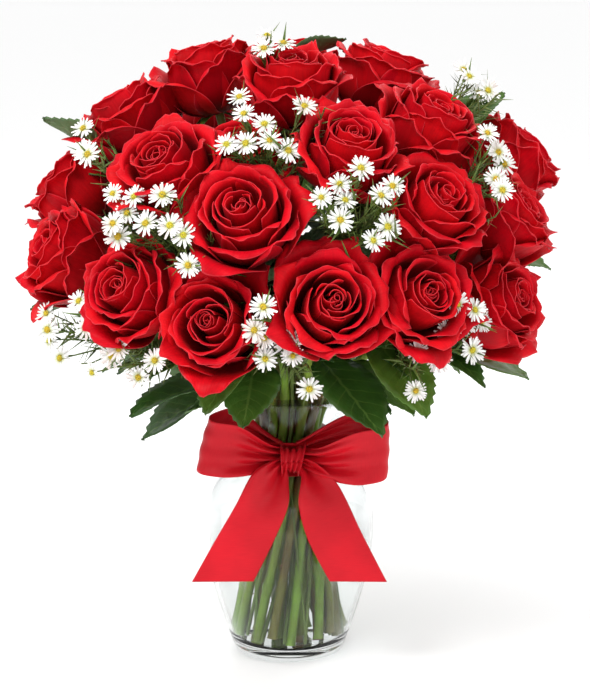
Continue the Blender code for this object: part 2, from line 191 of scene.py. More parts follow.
def ramp(tree, value, low, high):
    """0 where the value is under low, 1 where it is over high, and smooth between."""
    inputs = {"Value": value, "From Min": low, "From Max": high}
    return step(tree, "ShaderNodeMapRange", inputs, interpolation_type="SMOOTHSTEP")


print("helpers ready: a recipe is made of steps, sums, blends and ramps")

# %% [markdown]
# ## Materials and shared groups
# A finish starts as a named material with one Principled shader. What several finishes share
# goes in a node group with named sockets, so each finish can set its own values. Patterns
# read the place on the object itself, so they stay put wherever the part is used.
# %% Helpers for materials


def new_material(name, roughness, specular=0.5):
    """A named material, with its tree and its shader."""
    material = bpy.data.materials.new(name)
    material.use_nodes = True
    shader = material.node_tree.nodes["Principled BSDF"]
    shader.inputs["Roughness"].default_value = roughness
    shader.inputs["Specular IOR Level"].default_value = specular
    return material, material.node_tree, shader


def new_group(name, inputs, outputs):
    """An empty shader node group with named sockets, what it is given and what it puts out."""
    group = bpy.data.node_groups.new(name, "ShaderNodeTree")
    for label, kind, value in inputs:
        socket = group.interface.new_socket(label, in_out="INPUT", socket_type=kind)
        if value is not None:
            socket.default_value = value
    for label, kind in outputs:
        group.interface.new_socket(label, in_out="OUTPUT", socket_type=kind)
    given = group.nodes.new("NodeGroupInput").outputs
    return group, given, group.nodes.new("NodeGroupOutput").inputs


def place_group(tree, group, inputs):
    """Puts a shared group in a material, with this material's own values."""
    return add_node(tree, "ShaderNodeGroup", inputs, node_tree=group).outputs


def object_place(tree):
    """Where the shaded point is on the object, in metres."""
    return add_node(tree, "ShaderNodeTexCoord").outputs["Object"]


def value_on_mesh(tree, name):
    """A value that the mesh itself carries."""
    return add_node(tree, "ShaderNodeAttribute", attribute_name=name).outputs["Fac"]


def give_relief(tree, shader, height, strength, depth, sunk=False):
    """Fine relief: a bump of the given depth in metres."""
    inputs = {"Height": height, "Strength": strength, "Distance": depth}
    tree.links.new(step(tree, "ShaderNodeBump", inputs, invert=sunk), shader.inputs["Normal"])


print("helpers ready: materials, groups and relief")

# %% [markdown]
# ## Effects that several finishes share
# Living tissue is never one flat colour. **Mottling** drifts the tone over a few millimetres,
# as on any petal or stem. **Fibres** are fine streaks that run one way, which is how petals,
# rays and stems grow. Both are groups, so each finish sets its own scale.
# %% Shared groups: mottling and fibres


def mottling_group():
    inputs = [
        ("Vector", "NodeSocketVector", None),
        ("Scale", "NodeSocketFloat", 60.0),
        ("Depth", "NodeSocketFloat", 0.3),
    ]
    outputs = [("Tone", "NodeSocketFloat"), ("Mask", "NodeSocketFloat")]
    group, given, result = new_group("mottling", inputs, outputs)
    noise = {"Vector": given["Vector"], "Scale": given["Scale"], "Detail": 3.0}
    mask = ramp(group, step(group, "ShaderNodeTexNoise", noise), 0.32, 0.68)
    swing = sums(group, "MULTIPLY", sums(group, "SUBTRACT", mask, 0.5), given["Depth"])
    group.links.new(sums(group, "ADD", swing, 1.0), result["Tone"])
    group.links.new(mask, result["Mask"])
    return group


def fibres_group():
    inputs = [
        ("Vector", "NodeSocketVector", None),
        ("Across", "NodeSocketFloat", 40.0),
        ("Along", "NodeSocketFloat", 2.0),
    ]
    group, given, result = new_group("fibres", inputs, [("Streak", "NodeSocketFloat")])
    axes = axes_of(group, given["Vector"])
    wide = sums(group, "MULTIPLY", axes[0], given["Across"])
    long = sums(group, "MULTIPLY", axes[1], given["Along"])
    place = step(group, "ShaderNodeCombineXYZ", {0: wide, 1: long, 2: axes[2]})
    grain = step(group, "ShaderNodeTexNoise", {"Vector": place, "Scale": 1.0, "Detail": 2.0})
    group.links.new(ramp(group, grain, 0.3, 0.7), result["Streak"])
    return group


MOTTLING = mottling_group()
FIBRES = fibres_group()
print("shared groups:", MOTTLING.name, FIBRES.name)

# %% [markdown]
# ## Rose petals
# A red rose's petal is velvet inside. The map on each petal runs across it and from its base
# to its lip, so the dark base, painted shade for the depths of the bloom, the bright upper
# half and the thin pale edge, a painted highlight where light catches the rim, follow every
# petal. Fine veins fan up it.
# %% Finish: rose petals


def rose_petal_finish():
    material, tree, shader = new_material("rose_petals", 0.5, 0.09)
    shader.inputs["Sheen Weight"].default_value = 0.04
    shader.inputs["Sheen Roughness"].default_value = 0.45
    shader.inputs["Sheen Tint"].default_value = (1.0, 0.30, 0.34, 1)
    chart = step(tree, "ShaderNodeUVMap", uv_map="petal")
    across, up, _ = axes_of(tree, chart)
    tone = value_on_mesh(tree, "tone")
    patch = place_group(
        tree, MOTTLING, {"Vector": object_place(tree), "Scale": 70.0, "Depth": 0.28}
    )
    veins = place_group(tree, FIBRES, {"Vector": chart, "Across": 34.0, "Along": 2.5})["Streak"]
    # painted shade: the base of each petal goes near black, standing in for the shade deep in the
    # bloom
    rise = ramp(tree, up, 0.10, 0.85)
    body = blend(tree, rise, (0.080, 0.0005, 0.0022, 1), (0.58, 0.0020, 0.0110, 1))
    body = blend(tree, sums(tree, "MULTIPLY", tone, 0.50), body, (0.76, 0.007, 0.008, 1))
    body = blend(tree, sums(tree, "MULTIPLY", veins, 0.22), body, (0.27, 0.001, 0.006, 1))
    shaded = scaled(tree, body, patch["Tone"])
    # painted highlight: a thin pale line along each petal's lip and sides, where light catches the
    # rim
    sides = ramp(tree, from_middle(tree, across), 0.975, 1.0)
    edge = sums(tree, "MAXIMUM", ramp(tree, up, 0.97, 1.0), sides)
    rim = blend(tree, sums(tree, "MULTIPLY", edge, 0.42), shaded, (0.76, 0.070, 0.090, 1))
    tree.links.new(rim, shader.inputs["Base Color"])
    roughness = sums(tree, "MULTIPLY_ADD", veins, 0.12, 0.42)
    tree.links.new(roughness, shader.inputs["Roughness"])
    give_relief(tree, shader, veins, 0.16, 0.0004)
    return material


ROSE_PETALS = rose_petal_finish()
print("finish:", ROSE_PETALS.name)

# %% [markdown]
# ## Four families of petals
# A florist's rose opens from a tight bud: each petal springs from the base, swells into the
# cup, and rolls its lip outwards, more so the further out it sits. A modeller could sculpt
# each bloom, but twenty-six of them would be slow and stiff. So the petals come in four
# families, and each family says how its petals change from the first to the last.
# %% Sizes of the petals
GOLDEN_ANGLE = 137.508
PETAL_THICKNESS = 0.00045
# Each family: how many petals, then from its first petal to its last the radius of the cup,
# its height, how far the rim flares, the lip's length and roll, and the half width.
BUD = dict(count=7, radius=(0.0018, 0.0078), height=(0.0400, 0.0445), flare=(-0.0012, -0.0022),
           lip=(0.0006, 0.0012), roll=(0, 20), width=(0.0046, 0.0125), drop=0.10, spiral=0.0009)
CUP = dict(count=10, radius=(0.0090, 0.0190), height=(0.0450, 0.0445), flare=(-0.0014, 0.0010),
           lip=(0.0016, 0.0044), roll=(35, 75), width=(0.0140, 0.0220), drop=0.16, spiral=0.0013)
SKIRT = dict(count=8, radius=(0.0200, 0.0240), height=(0.0410, 0.0345), flare=(0.0016, 0.0055),
             lip=(0.0070, 0.0100), roll=(75, 120), width=(0.0235, 0.0270), drop=0.20, spiral=0.0010)
GUARD = dict(count=5, radius=(0.0240, 0.0250), height=(0.0330, 0.0270), flare=(0.0075, 0.0125),
             lip=(0.0105, 0.0125), roll=(70, 105), width=(0.0270, 0.0285), drop=0.26, spiral=0.0006)
# How each family is bent: how open its cup is, how far its sides stand off, the waves of its
# rim, the length of its point, and how much its top corners are drawn in.
HABITS = (
    (BUD, dict(flat=1.0, side=0.0, ruffle=0.0002, point=0.0, taper=0.10)),
    (CUP, dict(flat=1.06, side=0.0010, ruffle=0.0008, point=0.03, taper=0.22)),
    (SKIRT, dict(flat=1.30, side=0.0034, ruffle=0.0016, point=0.07, taper=0.32)),
    (GUARD, dict(flat=1.55, side=0.0046, ruffle=0.0024, point=0.11, taper=0.36)),
)
SIZES = ("radius", "height", "flare", "lip", "roll", "width")  # what changes within a family
print(sum(family["count"] for family, _ in HABITS), "petals in a bloom")

# %% [markdown]
# ## The profile of a petal
# Seen from its side, a petal leaves the base, goes up the cup and rolls over at the lip. The
# side is a Bezier arc, and the lip is a run of short steps that each turn a little further,
# which is how a rolled edge is drawn with a compass. The lip is longest in the middle of the
# petal, where its point is, and rolls most at the two sides.
# %% Profiles of a petal
ACROSS = 12  # faces across a petal
UP_SIDE = 8  # faces from its base to its rim
UP_LIP = 4  # faces over its lip
LONGEST_POINT = 0.15


def along(points, share):
    """The point at this share of the way along a polyline."""
    place = min(max(share, 0.0), 1.0) * (len(points) - 1)
    first = min(int(place), len(points) - 2)
    return points[first].lerp(points[first + 1], place - first)


def petal_profile(radius, height, flare, lip, roll):
    """(radius, height) points up a petal: out of the base, up the cup, over the lip."""
    base = Vector((0.0022 + radius * 0.12, 0.0))
    belly = Vector((radius * 1.22, height * 0.06))
    shoulder = Vector((radius * 1.10, height * 0.66))
    rim = Vector((radius + flare, height))
    points = interpolate_bezier(base, belly, shoulder, rim, UP_SIDE + 1)
    points = [Vector((point.x, point.y)) for point in points]
    heading = math.atan2(points[-1].x - points[-2].x, points[-1].y - points[-2].y)
    for _ in range(UP_LIP):
        heading += math.radians(roll) / UP_LIP
        points.append(points[-1] + Vector((math.sin(heading), math.cos(heading))) * lip / UP_LIP)
    return points


def column_profiles(sizes):
    """One profile for each column of the grid: the lip is long in the middle, rolled aside."""
    profiles = []
    for i in range(ACROSS + 1):
        aside = abs(2 * i / ACROSS - 1)
        pointed = 0.5 * sizes["point"] / LONGEST_POINT * (1 - aside) ** 1.5
        lip = sizes["lip"] * (0.86 + pointed)
        roll = sizes["roll"] * (0.74 + 0.52 * aside)
        profile = petal_profile(sizes["radius"], sizes["height"], sizes["flare"], lip, roll)
        profiles.append(profile)
    return profiles


print("a profile has", UP_SIDE + UP_LIP + 1, "points")

# %% [markdown]
# ## One petal
# Each petal is a small grid that follows its profiles upwards and is wrapped round the cup
# across. Its far side is tucked under its neighbour, and waves in two lengths ruffle the rim.
# A grid is the plainest mesh that can be bent like this, and its rows and columns give the
# petal its map.
# %% Bend one petal
WIDEST = 0.55  # how far up a petal is widest


def petal_point(profile, u, v, wave, sizes):
    """The place of one point: u runs from -1 to 1 across the petal, and v from 0 to 1 up it."""
    reach = 1 - sizes["drop"] * abs(u) ** 2.6 + sizes["point"] * (1 - abs(u)) ** 2
    middle = along(profile, v * reach / (1 + sizes["point"]))
    swell = 0.34 + 0.66 * math.sin(math.pi / 2 * min(1.0, v / WIDEST))
    swell *= 1 - sizes["taper"] * max(0.0, (v - WIDEST) / (1 - WIDEST)) ** 2
    wrap = max(middle.x, 0.0012) * sizes["flat"]
    angle = min(sizes["width"] * swell / wrap, math.radians(172)) * u
    side = sizes["side"] * abs(u) ** 3 * v * v
    out = middle.x - wrap + wrap * math.cos(angle) + sizes["spiral"] * u + side
    crimp = sizes["ruffle"] * v**4
    out += crimp * (math.sin(3.2 * u + wave) + 0.5 * math.sin(8.3 * u + 2 * wave))
    high = middle.y + crimp * (0.7 * math.cos(4.1 * u + wave) + 0.45 * math.cos(9.1 * u - wave))
    return Vector((out, wrap * math.sin(angle), high))


def fill_grid(shape, rows, chart, place_on_map):
    """Faces between rows of points, each corner with its place on the map."""
    for j in range(len(rows) - 1):
        for i in range(len(rows[j]) - 1):
            corners = ((i, j), (i + 1, j), (i + 1, j + 1), (i, j + 1))
            face = shape.faces.new([rows[y][x] for x, y in corners])
            for loop, (x, y) in zip(face.loops, corners):
                loop[chart].uv = place_on_map(x, y)


def add_petal(shape, layers, turn, sizes, rng):
    """Adds one petal to the bloom's mesh: a grid bent round the cup and along its profiles."""
    profiles = column_profiles(sizes)
    tone = rng.random()
    wave = rng.uniform(0, math.tau)
    sideways = Matrix.Rotation(math.radians(rng.gauss(0, 2.0)), 3, "Y")
    tilt = sideways @ Matrix.Rotation(math.radians(rng.gauss(0, 2.5)), 3, "X")
    spin = Matrix.Rotation(math.radians(turn), 3, "Z") @ tilt
    up = UP_SIDE + UP_LIP
    rows = []
    for j in range(up + 1):
        row = []
        for i in range(ACROSS + 1):
            place = petal_point(profiles[i], 2 * i / ACROSS - 1, j / up, wave, sizes)
            row.append(shape.verts.new(spin @ place))
            row[-1][layers["tone"]] = tone
        rows.append(row)
    fill_grid(shape, rows, layers["chart"], lambda x, y: (x / ACROSS, y / up))


print("a petal has", ACROSS * (UP_SIDE + UP_LIP), "faces")

# %% [markdown]
# ## One bloom
# Petals follow the golden angle, as they do on the plant, which draws the spiral that is seen
# from above and leaves no two petals in line. Every bloom has its own openness, and every
# petal differs a little from its family, so no two blooms are alike. The drawn numbers come
# from the bloom's own seed, so the bouquet is the same each time it is made.
# %% Grow one bloom


def petal_sizes(family, habit, share, openness, rng):
    """The sizes of one petal, at its share of the way through its family."""
    sizes = {}
    for key in SIZES:
        first, last = family[key]
        sizes[key] = first + (last - first) * share
    sizes["radius"] *= rng.uniform(0.97, 1.03) * (0.94 + 0.06 * openness)
    sizes["height"] *= rng.uniform(0.98, 1.02)
    sizes["roll"] *= rng.uniform(0.8, 1.2) * (0.6 + 0.4 * openness)
    sizes["flare"] *= 0.5 + 0.5 * openness
    sizes.update(habit)
    sizes["point"] *= rng.uniform(0.4, 1.5)
    sizes.update(drop=family["drop"], spiral=family["spiral"])
    return sizes


def bloom_shape(openness, rng):
    """All the petals of one bloom, with its base at the origin and its face up +Z."""
    shape = bmesh.new()
    chart = shape.loops.layers.uv.new("petal")
    layers = {"chart": chart, "tone": shape.verts.layers.float.new("tone")}
    turn = rng.uniform(0, 360)
    for family, habit in HABITS:
        for index in range(family["count"]):
            share = index / (family["count"] - 1)
            sizes = petal_sizes(family, habit, share, openness, rng)
            add_petal(shape, layers, turn, sizes, rng)
            turn += GOLDEN_ANGLE + rng.uniform(-6, 6)
    return shape


print("neighbouring petals are", GOLDEN_ANGLE, "degrees apart")

# %% [markdown]
# ## Handing a piece over
# Every finished piece is an object at the origin with smooth faces. Thin things, such as
# petals, leaves and cloth, are sheets until a Solidify gives them their thickness, which also
# closes them. Then each piece rides on the one body, takes a slot and may stand for the
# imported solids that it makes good.
# %% Helpers for pieces


def add_piece(name, shape, materials):
    """Turns a bmesh into an object at the origin, shaded smooth."""
    mesh = bpy.data.meshes.new(name)
    shape.to_mesh(mesh)
    shape.free()
    for material in materials:
        mesh.materials.append(material)
    mesh.shade_smooth()
    made = bpy.data.objects.new(name, mesh)
    bpy.context.scene.collection.objects.link(made)
    return made


def finish_wall(piece, thickness, offset=0.0):
    """Gives a sheet its thickness, which also closes it."""
    wall = piece.modifiers.new("Thickness", "SOLIDIFY")
    wall.thickness = thickness
    wall.offset = offset
    return wall


def hand_over(piece, slot, *nodes):
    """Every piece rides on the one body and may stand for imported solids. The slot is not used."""
    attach(piece, "root")
    if nodes:
        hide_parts(*nodes)


print("helpers ready: pieces")

# %% [markdown]
# ## Where the blooms sit
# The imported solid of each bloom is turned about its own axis, so the middle of its corners is
# on that axis, and every axis comes from one point low in the bouquet. That gives the base and
# the direction of each bloom straight from the frame, with no second list of places.
# %% Place the blooms
AIM_POINT = Vector((0, 0, 0.205))  # every bloom faces away from this point
ROSE_COUNT = 26
LEAST_OPEN = 0.3


def corners_of(node):
    """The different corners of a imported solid."""
    seen = {}
    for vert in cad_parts[node].data.vertices:
        seen[tuple(round(value, 5) for value in vert.co)] = vert.co.copy()
    return list(seen.values())


def middle_of(points):
    return sum(points, Vector()) / len(points)


def bloom_place(number):
    """The base and the axis of a bloom."""
    corners = corners_of(f"bloom_{number:02d}")
    middle = middle_of(corners)
    axis = (middle - AIM_POINT).normalized()
    lowest = min((corner - middle).dot(axis) for corner in corners)
    return middle + axis * lowest, axis


BLOOM_PLACES = {number: bloom_place(number) for number in range(1, ROSE_COUNT + 1)}


def add_blooms():
    for number, (base, axis) in BLOOM_PLACES.items():
        rng = random.Random(100 + number)
        shape = bloom_shape(rng.uniform(LEAST_OPEN, 1.0), rng)
        facing = axis.to_track_quat("Z", "Y").to_matrix().to_4x4()
        shape.transform(Matrix.Translation(base) @ facing)
        bloom = add_piece(f"rose_bloom_{number:02d}", shape, [ROSE_PETALS])
        finish_wall(bloom, PETAL_THICKNESS)
        hand_over(bloom, "rose_petals", f"bloom_{number:02d}")


add_blooms()
print(len(BLOOM_PLACES), "blooms made")

# %% [markdown]
# ## Stem finish
# A rose's stem is waxy green, olive to brown where it has aged, with darker specks and rusty
# thorns. The streaks run up the stem, so the pattern is stretched along the height. One recipe
# makes the rose's stem, its thorns and the aster's wiry stem, each from its own two colours.
# %% Finishes: stems and thorns


def stem_finish(name, young, old, roughness):
    material, tree, shader = new_material(name, roughness, 0.4)
    spot = object_place(tree)
    tall = step(tree, "ShaderNodeMapping", {"Vector": spot, "Scale": (1.0, 1.0, 0.10)})
    streak = place_group(tree, MOTTLING, {"Vector": tall, "Scale": 190.0, "Depth": 0.5})
    patch = place_group(tree, MOTTLING, {"Vector": spot, "Scale": 26.0, "Depth": 0.4})
    age = sums(tree, "MULTIPLY", value_on_mesh(tree, "age"), 0.75)
    aged = sums(tree, "MULTIPLY_ADD", patch["Mask"], 0.35, age, clamp=True)
    skin = scaled(tree, blend(tree, aged, young, old), streak["Tone"])
    cells = add_node(tree, "ShaderNodeTexVoronoi", {"Vector": spot, "Scale": 420.0})
    speck = sums(tree, "SUBTRACT", 1.0, ramp(tree, cells.outputs["Distance"], 0.10, 0.24))
    skin = blend(tree, sums(tree, "MULTIPLY", speck, 0.45), skin, (0.10, 0.045, 0.018, 1))
    tree.links.new(skin, shader.inputs["Base Color"])
    give_relief(tree, shader, streak["Mask"], 0.25, 0.0004)
    return material


ROSE_STEM = stem_finish("rose_stem", (0.17, 0.34, 0.030, 1), (0.15, 0.085, 0.022, 1), 0.45)
THORN = stem_finish("thorn", (0.24, 0.13, 0.05, 1), (0.20, 0.05, 0.03, 1), 0.5)
ASTER_STEM = stem_finish("aster_stem", (0.11, 0.20, 0.035, 1), (0.16, 0.15, 0.05, 1), 0.55)
print("finishes:", ROSE_STEM.name, THORN.name, ASTER_STEM.name)

# %% [markdown]
# ## Routes of the stems
# Each stem stands on the vase's floor, runs as a straight line to the neck, and then bends out
# to its bloom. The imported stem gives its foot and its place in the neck, and the bloom gives
# its end. A Bezier arc joins them, because it leaves the neck in the line of the stem and
# arrives in the line of the bloom.
# %% Read the stems' routes
NECK_HEIGHT = 0.147
FOOT_REACH = 0.003  # the corners this near the lowest one are the foot
NECK_REACH = 0.004
BEND_POINTS = 14


def neck_of(corners):
    """The middle of a packed stem where it passes the vase's neck."""
    return middle_of([corner for corner in corners if abs(corner.z - NECK_HEIGHT) < NECK_REACH])


def stem_route(node, top, axis):
    """Foot, neck, and the bend from the neck out to the bloom."""
    corners = corners_of(node)
    lowest = min(corner.z for corner in corners)
    foot = middle_of([corner for corner in corners if corner.z < lowest + FOOT_REACH])
    neck = neck_of(corners)
    rise = (neck - foot).normalized()
    reach = (top - neck).length
    leaving = neck + rise * reach * 0.36
    arriving = top - axis * reach * 0.34
    return [foot] + interpolate_bezier(neck, leaving, arriving, top, BEND_POINTS)


def length_of(points):
    return sum((after - before).length for before, after in zip(points, points[1:]))


ROUTES = {}
for rose, (rose_base, rose_axis) in BLOOM_PLACES.items():
    ROUTES[rose] = stem_route(f"stem_{rose:02d}", rose_base, rose_axis)
print(len(ROUTES), "routes read, the first", round(length_of(ROUTES[1]), 3), "m long")

# %% [markdown]
# ## Steps that geometry trees share
# Three trees grow what repeats here: the stems, the aster heads and the aster twigs. They are
# put together from the same few steps. A tree starts empty with named inputs, and the steps
# space a curve evenly, give it a round skin, draw sizes and turns by chance, set a material
# and join the parts.
# %% Helpers for geometry trees


def new_grower(name, inputs):
    """An empty geometry tree: a Geometry in and out, and named inputs."""
    tree = bpy.data.node_groups.new(name, "GeometryNodeTree")
    tree.interface.new_socket("Geometry", in_out="INPUT", socket_type="NodeSocketGeometry")
    for label, kind, value in inputs:
        socket = tree.interface.new_socket(label, in_out="INPUT", socket_type=kind)
        if value is not None:
            socket.default_value = value
    tree.interface.new_socket("Geometry", in_out="OUTPUT", socket_type="NodeSocketGeometry")
    given = tree.nodes.new("NodeGroupInput").outputs
    return tree, given, tree.nodes.new("NodeGroupOutput").inputs


def painted(tree, geometry, material):
    inputs = {"Geometry": geometry, "Material": material}
    return step(tree, "GeometryNodeSetMaterial", inputs)


def joined(tree, *parts):
    both = tree.nodes.new("GeometryNodeJoinGeometry")
    for part in parts:
        tree.links.new(part, both.inputs[0])
    return both.outputs[0]


def chance_turn(tree, low, high, seed):
    """A turn about three axes, drawn afresh for each instance."""
    inputs = {0: low, 1: high, "Seed": seed}
    return step(tree, "FunctionNodeRandomValue", inputs, data_type="FLOAT_VECTOR")


def chance_size(tree, low, high, seed):
    inputs = {2: low, 3: high, "Seed": seed}
    return add_node(tree, "FunctionNodeRandomValue", inputs).outputs[1]


def turned_further(tree, first, second):
    """A rotation followed by another about its own axes."""
    inputs = {0: first, 1: second}
    return step(tree, "FunctionNodeRotateRotation", inputs, rotation_space="LOCAL")


def round_skin(tree, line, girth, sides):
    """A round skin of a given radius along a curve."""
    ring = step(tree, "GeometryNodeCurvePrimitiveCircle", {"Resolution": sides, "Radius": 1.0})
    inputs = {"Curve": line, "Profile Curve": ring, "Scale": girth, "Fill Caps": True}
    return step(tree, "GeometryNodeCurveToMesh", inputs)


def even_line(tree, geometry, length):
    inputs = {"Curve": geometry, "Length": length}
    return step(tree, "GeometryNodeResampleCurve", inputs, mode="LENGTH")


print("helpers ready: geometry trees")

# %% [markdown]
# ## A tree that grows stems
# A stem is a round section carried along its route: it swells a little at each leaf joint, and
# thorns point every way. One geometry tree makes all twenty-six, with its sizes as named
# inputs and a seed for the thorns. It ends in plain geometry with its materials set, because
# an exported part can't carry instances.
# %% Node tree: a stem grown along a line
STEM_RADIUS = 0.0032


def thorns_on(tree, line, given):
    """Small cones at some of the points along a curve, each turned out of it."""
    inputs = {"Curve": line, "Length": given["Thorn Spacing"]}
    spots = add_node(tree, "GeometryNodeCurveToPoints", inputs, mode="LENGTH").outputs
    inputs = {"Seed": given["Seed"], "Probability": 0.45}
    chosen = add_node(tree, "FunctionNodeRandomValue", inputs, data_type="BOOLEAN").outputs[3]
    lean = chance_turn(tree, (1.25, 0, 0), (1.45, 0, math.tau), given["Seed"])
    aim = turned_further(tree, spots["Rotation"], lean)
    reach = sums(tree, "ADD", given["Thorn Length"], given["Radius"])
    cone = {"Vertices": 6, "Radius Top": 0.00005, "Radius Bottom": 0.0014, "Depth": reach}
    spike = step(tree, "GeometryNodeMeshCone", cone)
    size = chance_size(tree, 0.55, 1.0, given["Seed"])
    inputs = {"Points": spots[0], "Selection": chosen, "Instance": spike}
    inputs.update({"Rotation": aim, "Scale": size})
    thorns = step(tree, "GeometryNodeInstanceOnPoints", inputs)
    return step(tree, "GeometryNodeRealizeInstances", {0: thorns})


def stem_grower():
    inputs = [
        ("Radius", "NodeSocketFloat", STEM_RADIUS),
        ("Joint Spacing", "NodeSocketFloat", 0.042),
        ("Joint Swell", "NodeSocketFloat", 0.22),
        ("Thorn Length", "NodeSocketFloat", 0.0034),
        ("Thorn Spacing", "NodeSocketFloat", 0.016),
        ("Seed", "NodeSocketInt", 1),
        ("Skin", "NodeSocketMaterial", None),
        ("Thorn Skin", "NodeSocketMaterial", None),
    ]
    tree, given, result = new_grower("grown stem", inputs)
    line = even_line(tree, given["Geometry"], 0.0035)
    run = add_node(tree, "GeometryNodeSplineParameter").outputs["Length"]
    phase = sums(tree, "MULTIPLY", sums(tree, "DIVIDE", run, given["Joint Spacing"]), math.pi)
    crest = sums(tree, "POWER", sums(tree, "ABSOLUTE", sums(tree, "COSINE", phase)), 50.0)
    swell = sums(tree, "MULTIPLY_ADD", crest, given["Joint Swell"], 0.94)
    girth = sums(tree, "MULTIPLY", swell, given["Radius"])
    skin = painted(tree, round_skin(tree, line, girth, 9), given["Skin"])
    thorns = painted(tree, thorns_on(tree, line, given), given["Thorn Skin"])
    both = joined(tree, thorns, skin)
    tree.links.new(step(tree, "GeometryNodeSetShadeSmooth", {"Geometry": both}), result[0])
    return tree


STEM_GROWER = stem_grower()
print("node tree:", STEM_GROWER.name)

# %% [markdown]
# ## Growing the stems
# A tree runs as a modifier on a simple carrier, here a curve with the stem's route. Its result
# is kept as a plain mesh and the carrier is thrown away, so nothing live is left on the piece.
# Each stem also carries its own age, from young green to old brown, for the finish to read.
# %% Grow the stems


def grow(carrier, tree, values, name):
    """Runs a geometry tree on an object, and keeps the result as a plain mesh at the origin."""
    modifier = carrier.modifiers.new("Grow", "NODES")
    modifier.node_group = tree
    inputs = [item for item in tree.interface.items_tree if item.in_out == "INPUT"]
    sockets = {item.name: item.identifier for item in inputs}
    for label, value in values.items():
        modifier[sockets[label]] = value
    bpy.context.view_layer.update()
    graph = bpy.context.evaluated_depsgraph_get()
    mesh = bpy.data.meshes.new_from_object(carrier.evaluated_get(graph), depsgraph=graph)
    bpy.data.objects.remove(carrier)
    mesh.name = name
    made = bpy.data.objects.new(name, mesh)
    bpy.context.scene.collection.objects.link(made)
    return made


def line_object(name, lines, radii):
    """A curve object of straight-sided lines, each with its own thickness."""
    curve = bpy.data.curves.new(name, "CURVE")
    curve.dimensions = "3D"
    for line, radius in zip(lines, radii):
        spline = curve.splines.new("POLY")
        spline.points.add(len(line) - 1)
        for knot, point in zip(spline.points, line):
            knot.co = (*point, 1.0)
            knot.radius = radius
    carrier = bpy.data.objects.new(name, curve)
    bpy.context.scene.collection.objects.link(carrier)
    return carrier


def mark_age(mesh, level):
    """How far a stem has gone from young green to old brown, as one value on the mesh."""
    age = mesh.attributes.new("age", "FLOAT", "POINT")
    age.data.foreach_set("value", [level] * len(mesh.vertices))


def add_stems():
    for number, route in ROUTES.items():
        rng = random.Random(300 + number)
        name = f"rose_stem_{number:02d}"
        values = {
            "Seed": number,
            "Joint Spacing": rng.uniform(0.036, 0.052),
            "Skin": ROSE_STEM,
            "Thorn Skin": THORN,
        }
        stem = grow(line_object(name, [route], [1.0]), STEM_GROWER, values, name)
        mark_age(stem.data, rng.random() ** 1.6)
        hand_over(stem, "stem_and_leaf", f"stem_{number:02d}")


add_stems()
print(len(ROUTES), "stems grown")

# %% [markdown]
# ## Leaf veins
# Rose leaves have a midrib and some seven pairs of side veins, and the skin between the veins
# is quilted. The pattern is worked out from each leaf's own map, so it always meets the edge
# at the same slant, which a flat picture laid over the leaf would not. It is a group, because
# both sides of the leaf use it.
# %% Shared group: leaf veins


def veins_group():
    inputs = [
        ("Chart", "NodeSocketVector", None),
        ("Pairs", "NodeSocketFloat", 7.0),
        ("Slant", "NodeSocketFloat", 1.5),
    ]
    outputs = [("Veins", "NodeSocketFloat"), ("Quilt", "NodeSocketFloat")]
    group, given, result = new_group("leaf veins", inputs, outputs)
    axes = axes_of(group, given["Chart"])
    side = from_middle(group, axes[0])
    midrib = sums(group, "SUBTRACT", 1.0, ramp(group, side, 0.02, 0.07))
    steps = sums(group, "MULTIPLY", axes[1], given["Pairs"])
    slanted = sums(group, "SUBTRACT", steps, sums(group, "MULTIPLY", side, given["Slant"]))
    near = from_middle(group, sums(group, "FRACT", slanted))
    fading = sums(group, "MULTIPLY_ADD", side, -0.7, 0.8)
    lateral = sums(group, "MULTIPLY", ramp(group, near, 0.86, 0.98), fading)
    group.links.new(sums(group, "MAXIMUM", midrib, lateral), result["Veins"])
    cells = add_node(group, "ShaderNodeTexVoronoi", {"Vector": given["Chart"], "Scale": 26.0})
    hollow = sums(group, "SUBTRACT", 1.0, near)
    bulge = sums(group, "MULTIPLY_ADD", cells.outputs["Distance"], -0.35, hollow)
    group.links.new(bulge, result["Quilt"])
    return group


LEAF_VEINS = veins_group()
print("shared group:", LEAF_VEINS.name)

# %% [markdown]
# ## Leaf finishes
# A rose leaf is dark and waxy above, and paler and matt beneath, and its veins are light lines
# on both sides. So the two sides are two materials made by one recipe, with their own greens,
# roughness and strength of veins. Each leaf carries its own tone between the two greens.
# %% Finishes: the two sides of a leaf


def leaf_finish(name, dark, light, vein, roughness, vein_strength):
    material, tree, shader = new_material(name, roughness, 0.3)
    chart = step(tree, "ShaderNodeUVMap", uv_map="leaf")
    lines = place_group(tree, LEAF_VEINS, {"Chart": chart})
    patch = place_group(
        tree, MOTTLING, {"Vector": object_place(tree), "Scale": 55.0, "Depth": 0.3}
    )
    skin = blend(tree, value_on_mesh(tree, "tone"), dark, light)
    skin = scaled(tree, skin, patch["Tone"])
    skin = blend(tree, sums(tree, "MULTIPLY", lines["Veins"], vein_strength), skin, vein)
    tree.links.new(skin, shader.inputs["Base Color"])
    matt = sums(tree, "MULTIPLY_ADD", patch["Mask"], 0.12, roughness - 0.06)
    tree.links.new(matt, shader.inputs["Roughness"])
    give_relief(tree, shader, lines["Quilt"], 0.35, 0.0007)
    return material


LEAF_TOP = leaf_finish(
    name="leaf_top",
    dark=(0.030, 0.088, 0.012, 1),
    light=(0.098, 0.200, 0.022, 1),
    vein=(0.20, 0.33, 0.07, 1),
    roughness=0.36,
    vein_strength=0.42,
)
LEAF_BELOW = leaf_finish(
    name="leaf_underside",
    dark=(0.085, 0.16, 0.065, 1),
    light=(0.13, 0.21, 0.085, 1),
    vein=(0.20, 0.28, 0.13, 1),
    roughness=0.6,
    vein_strength=0.55,
)
print("finishes:", LEAF_TOP.name, LEAF_BELOW.name)

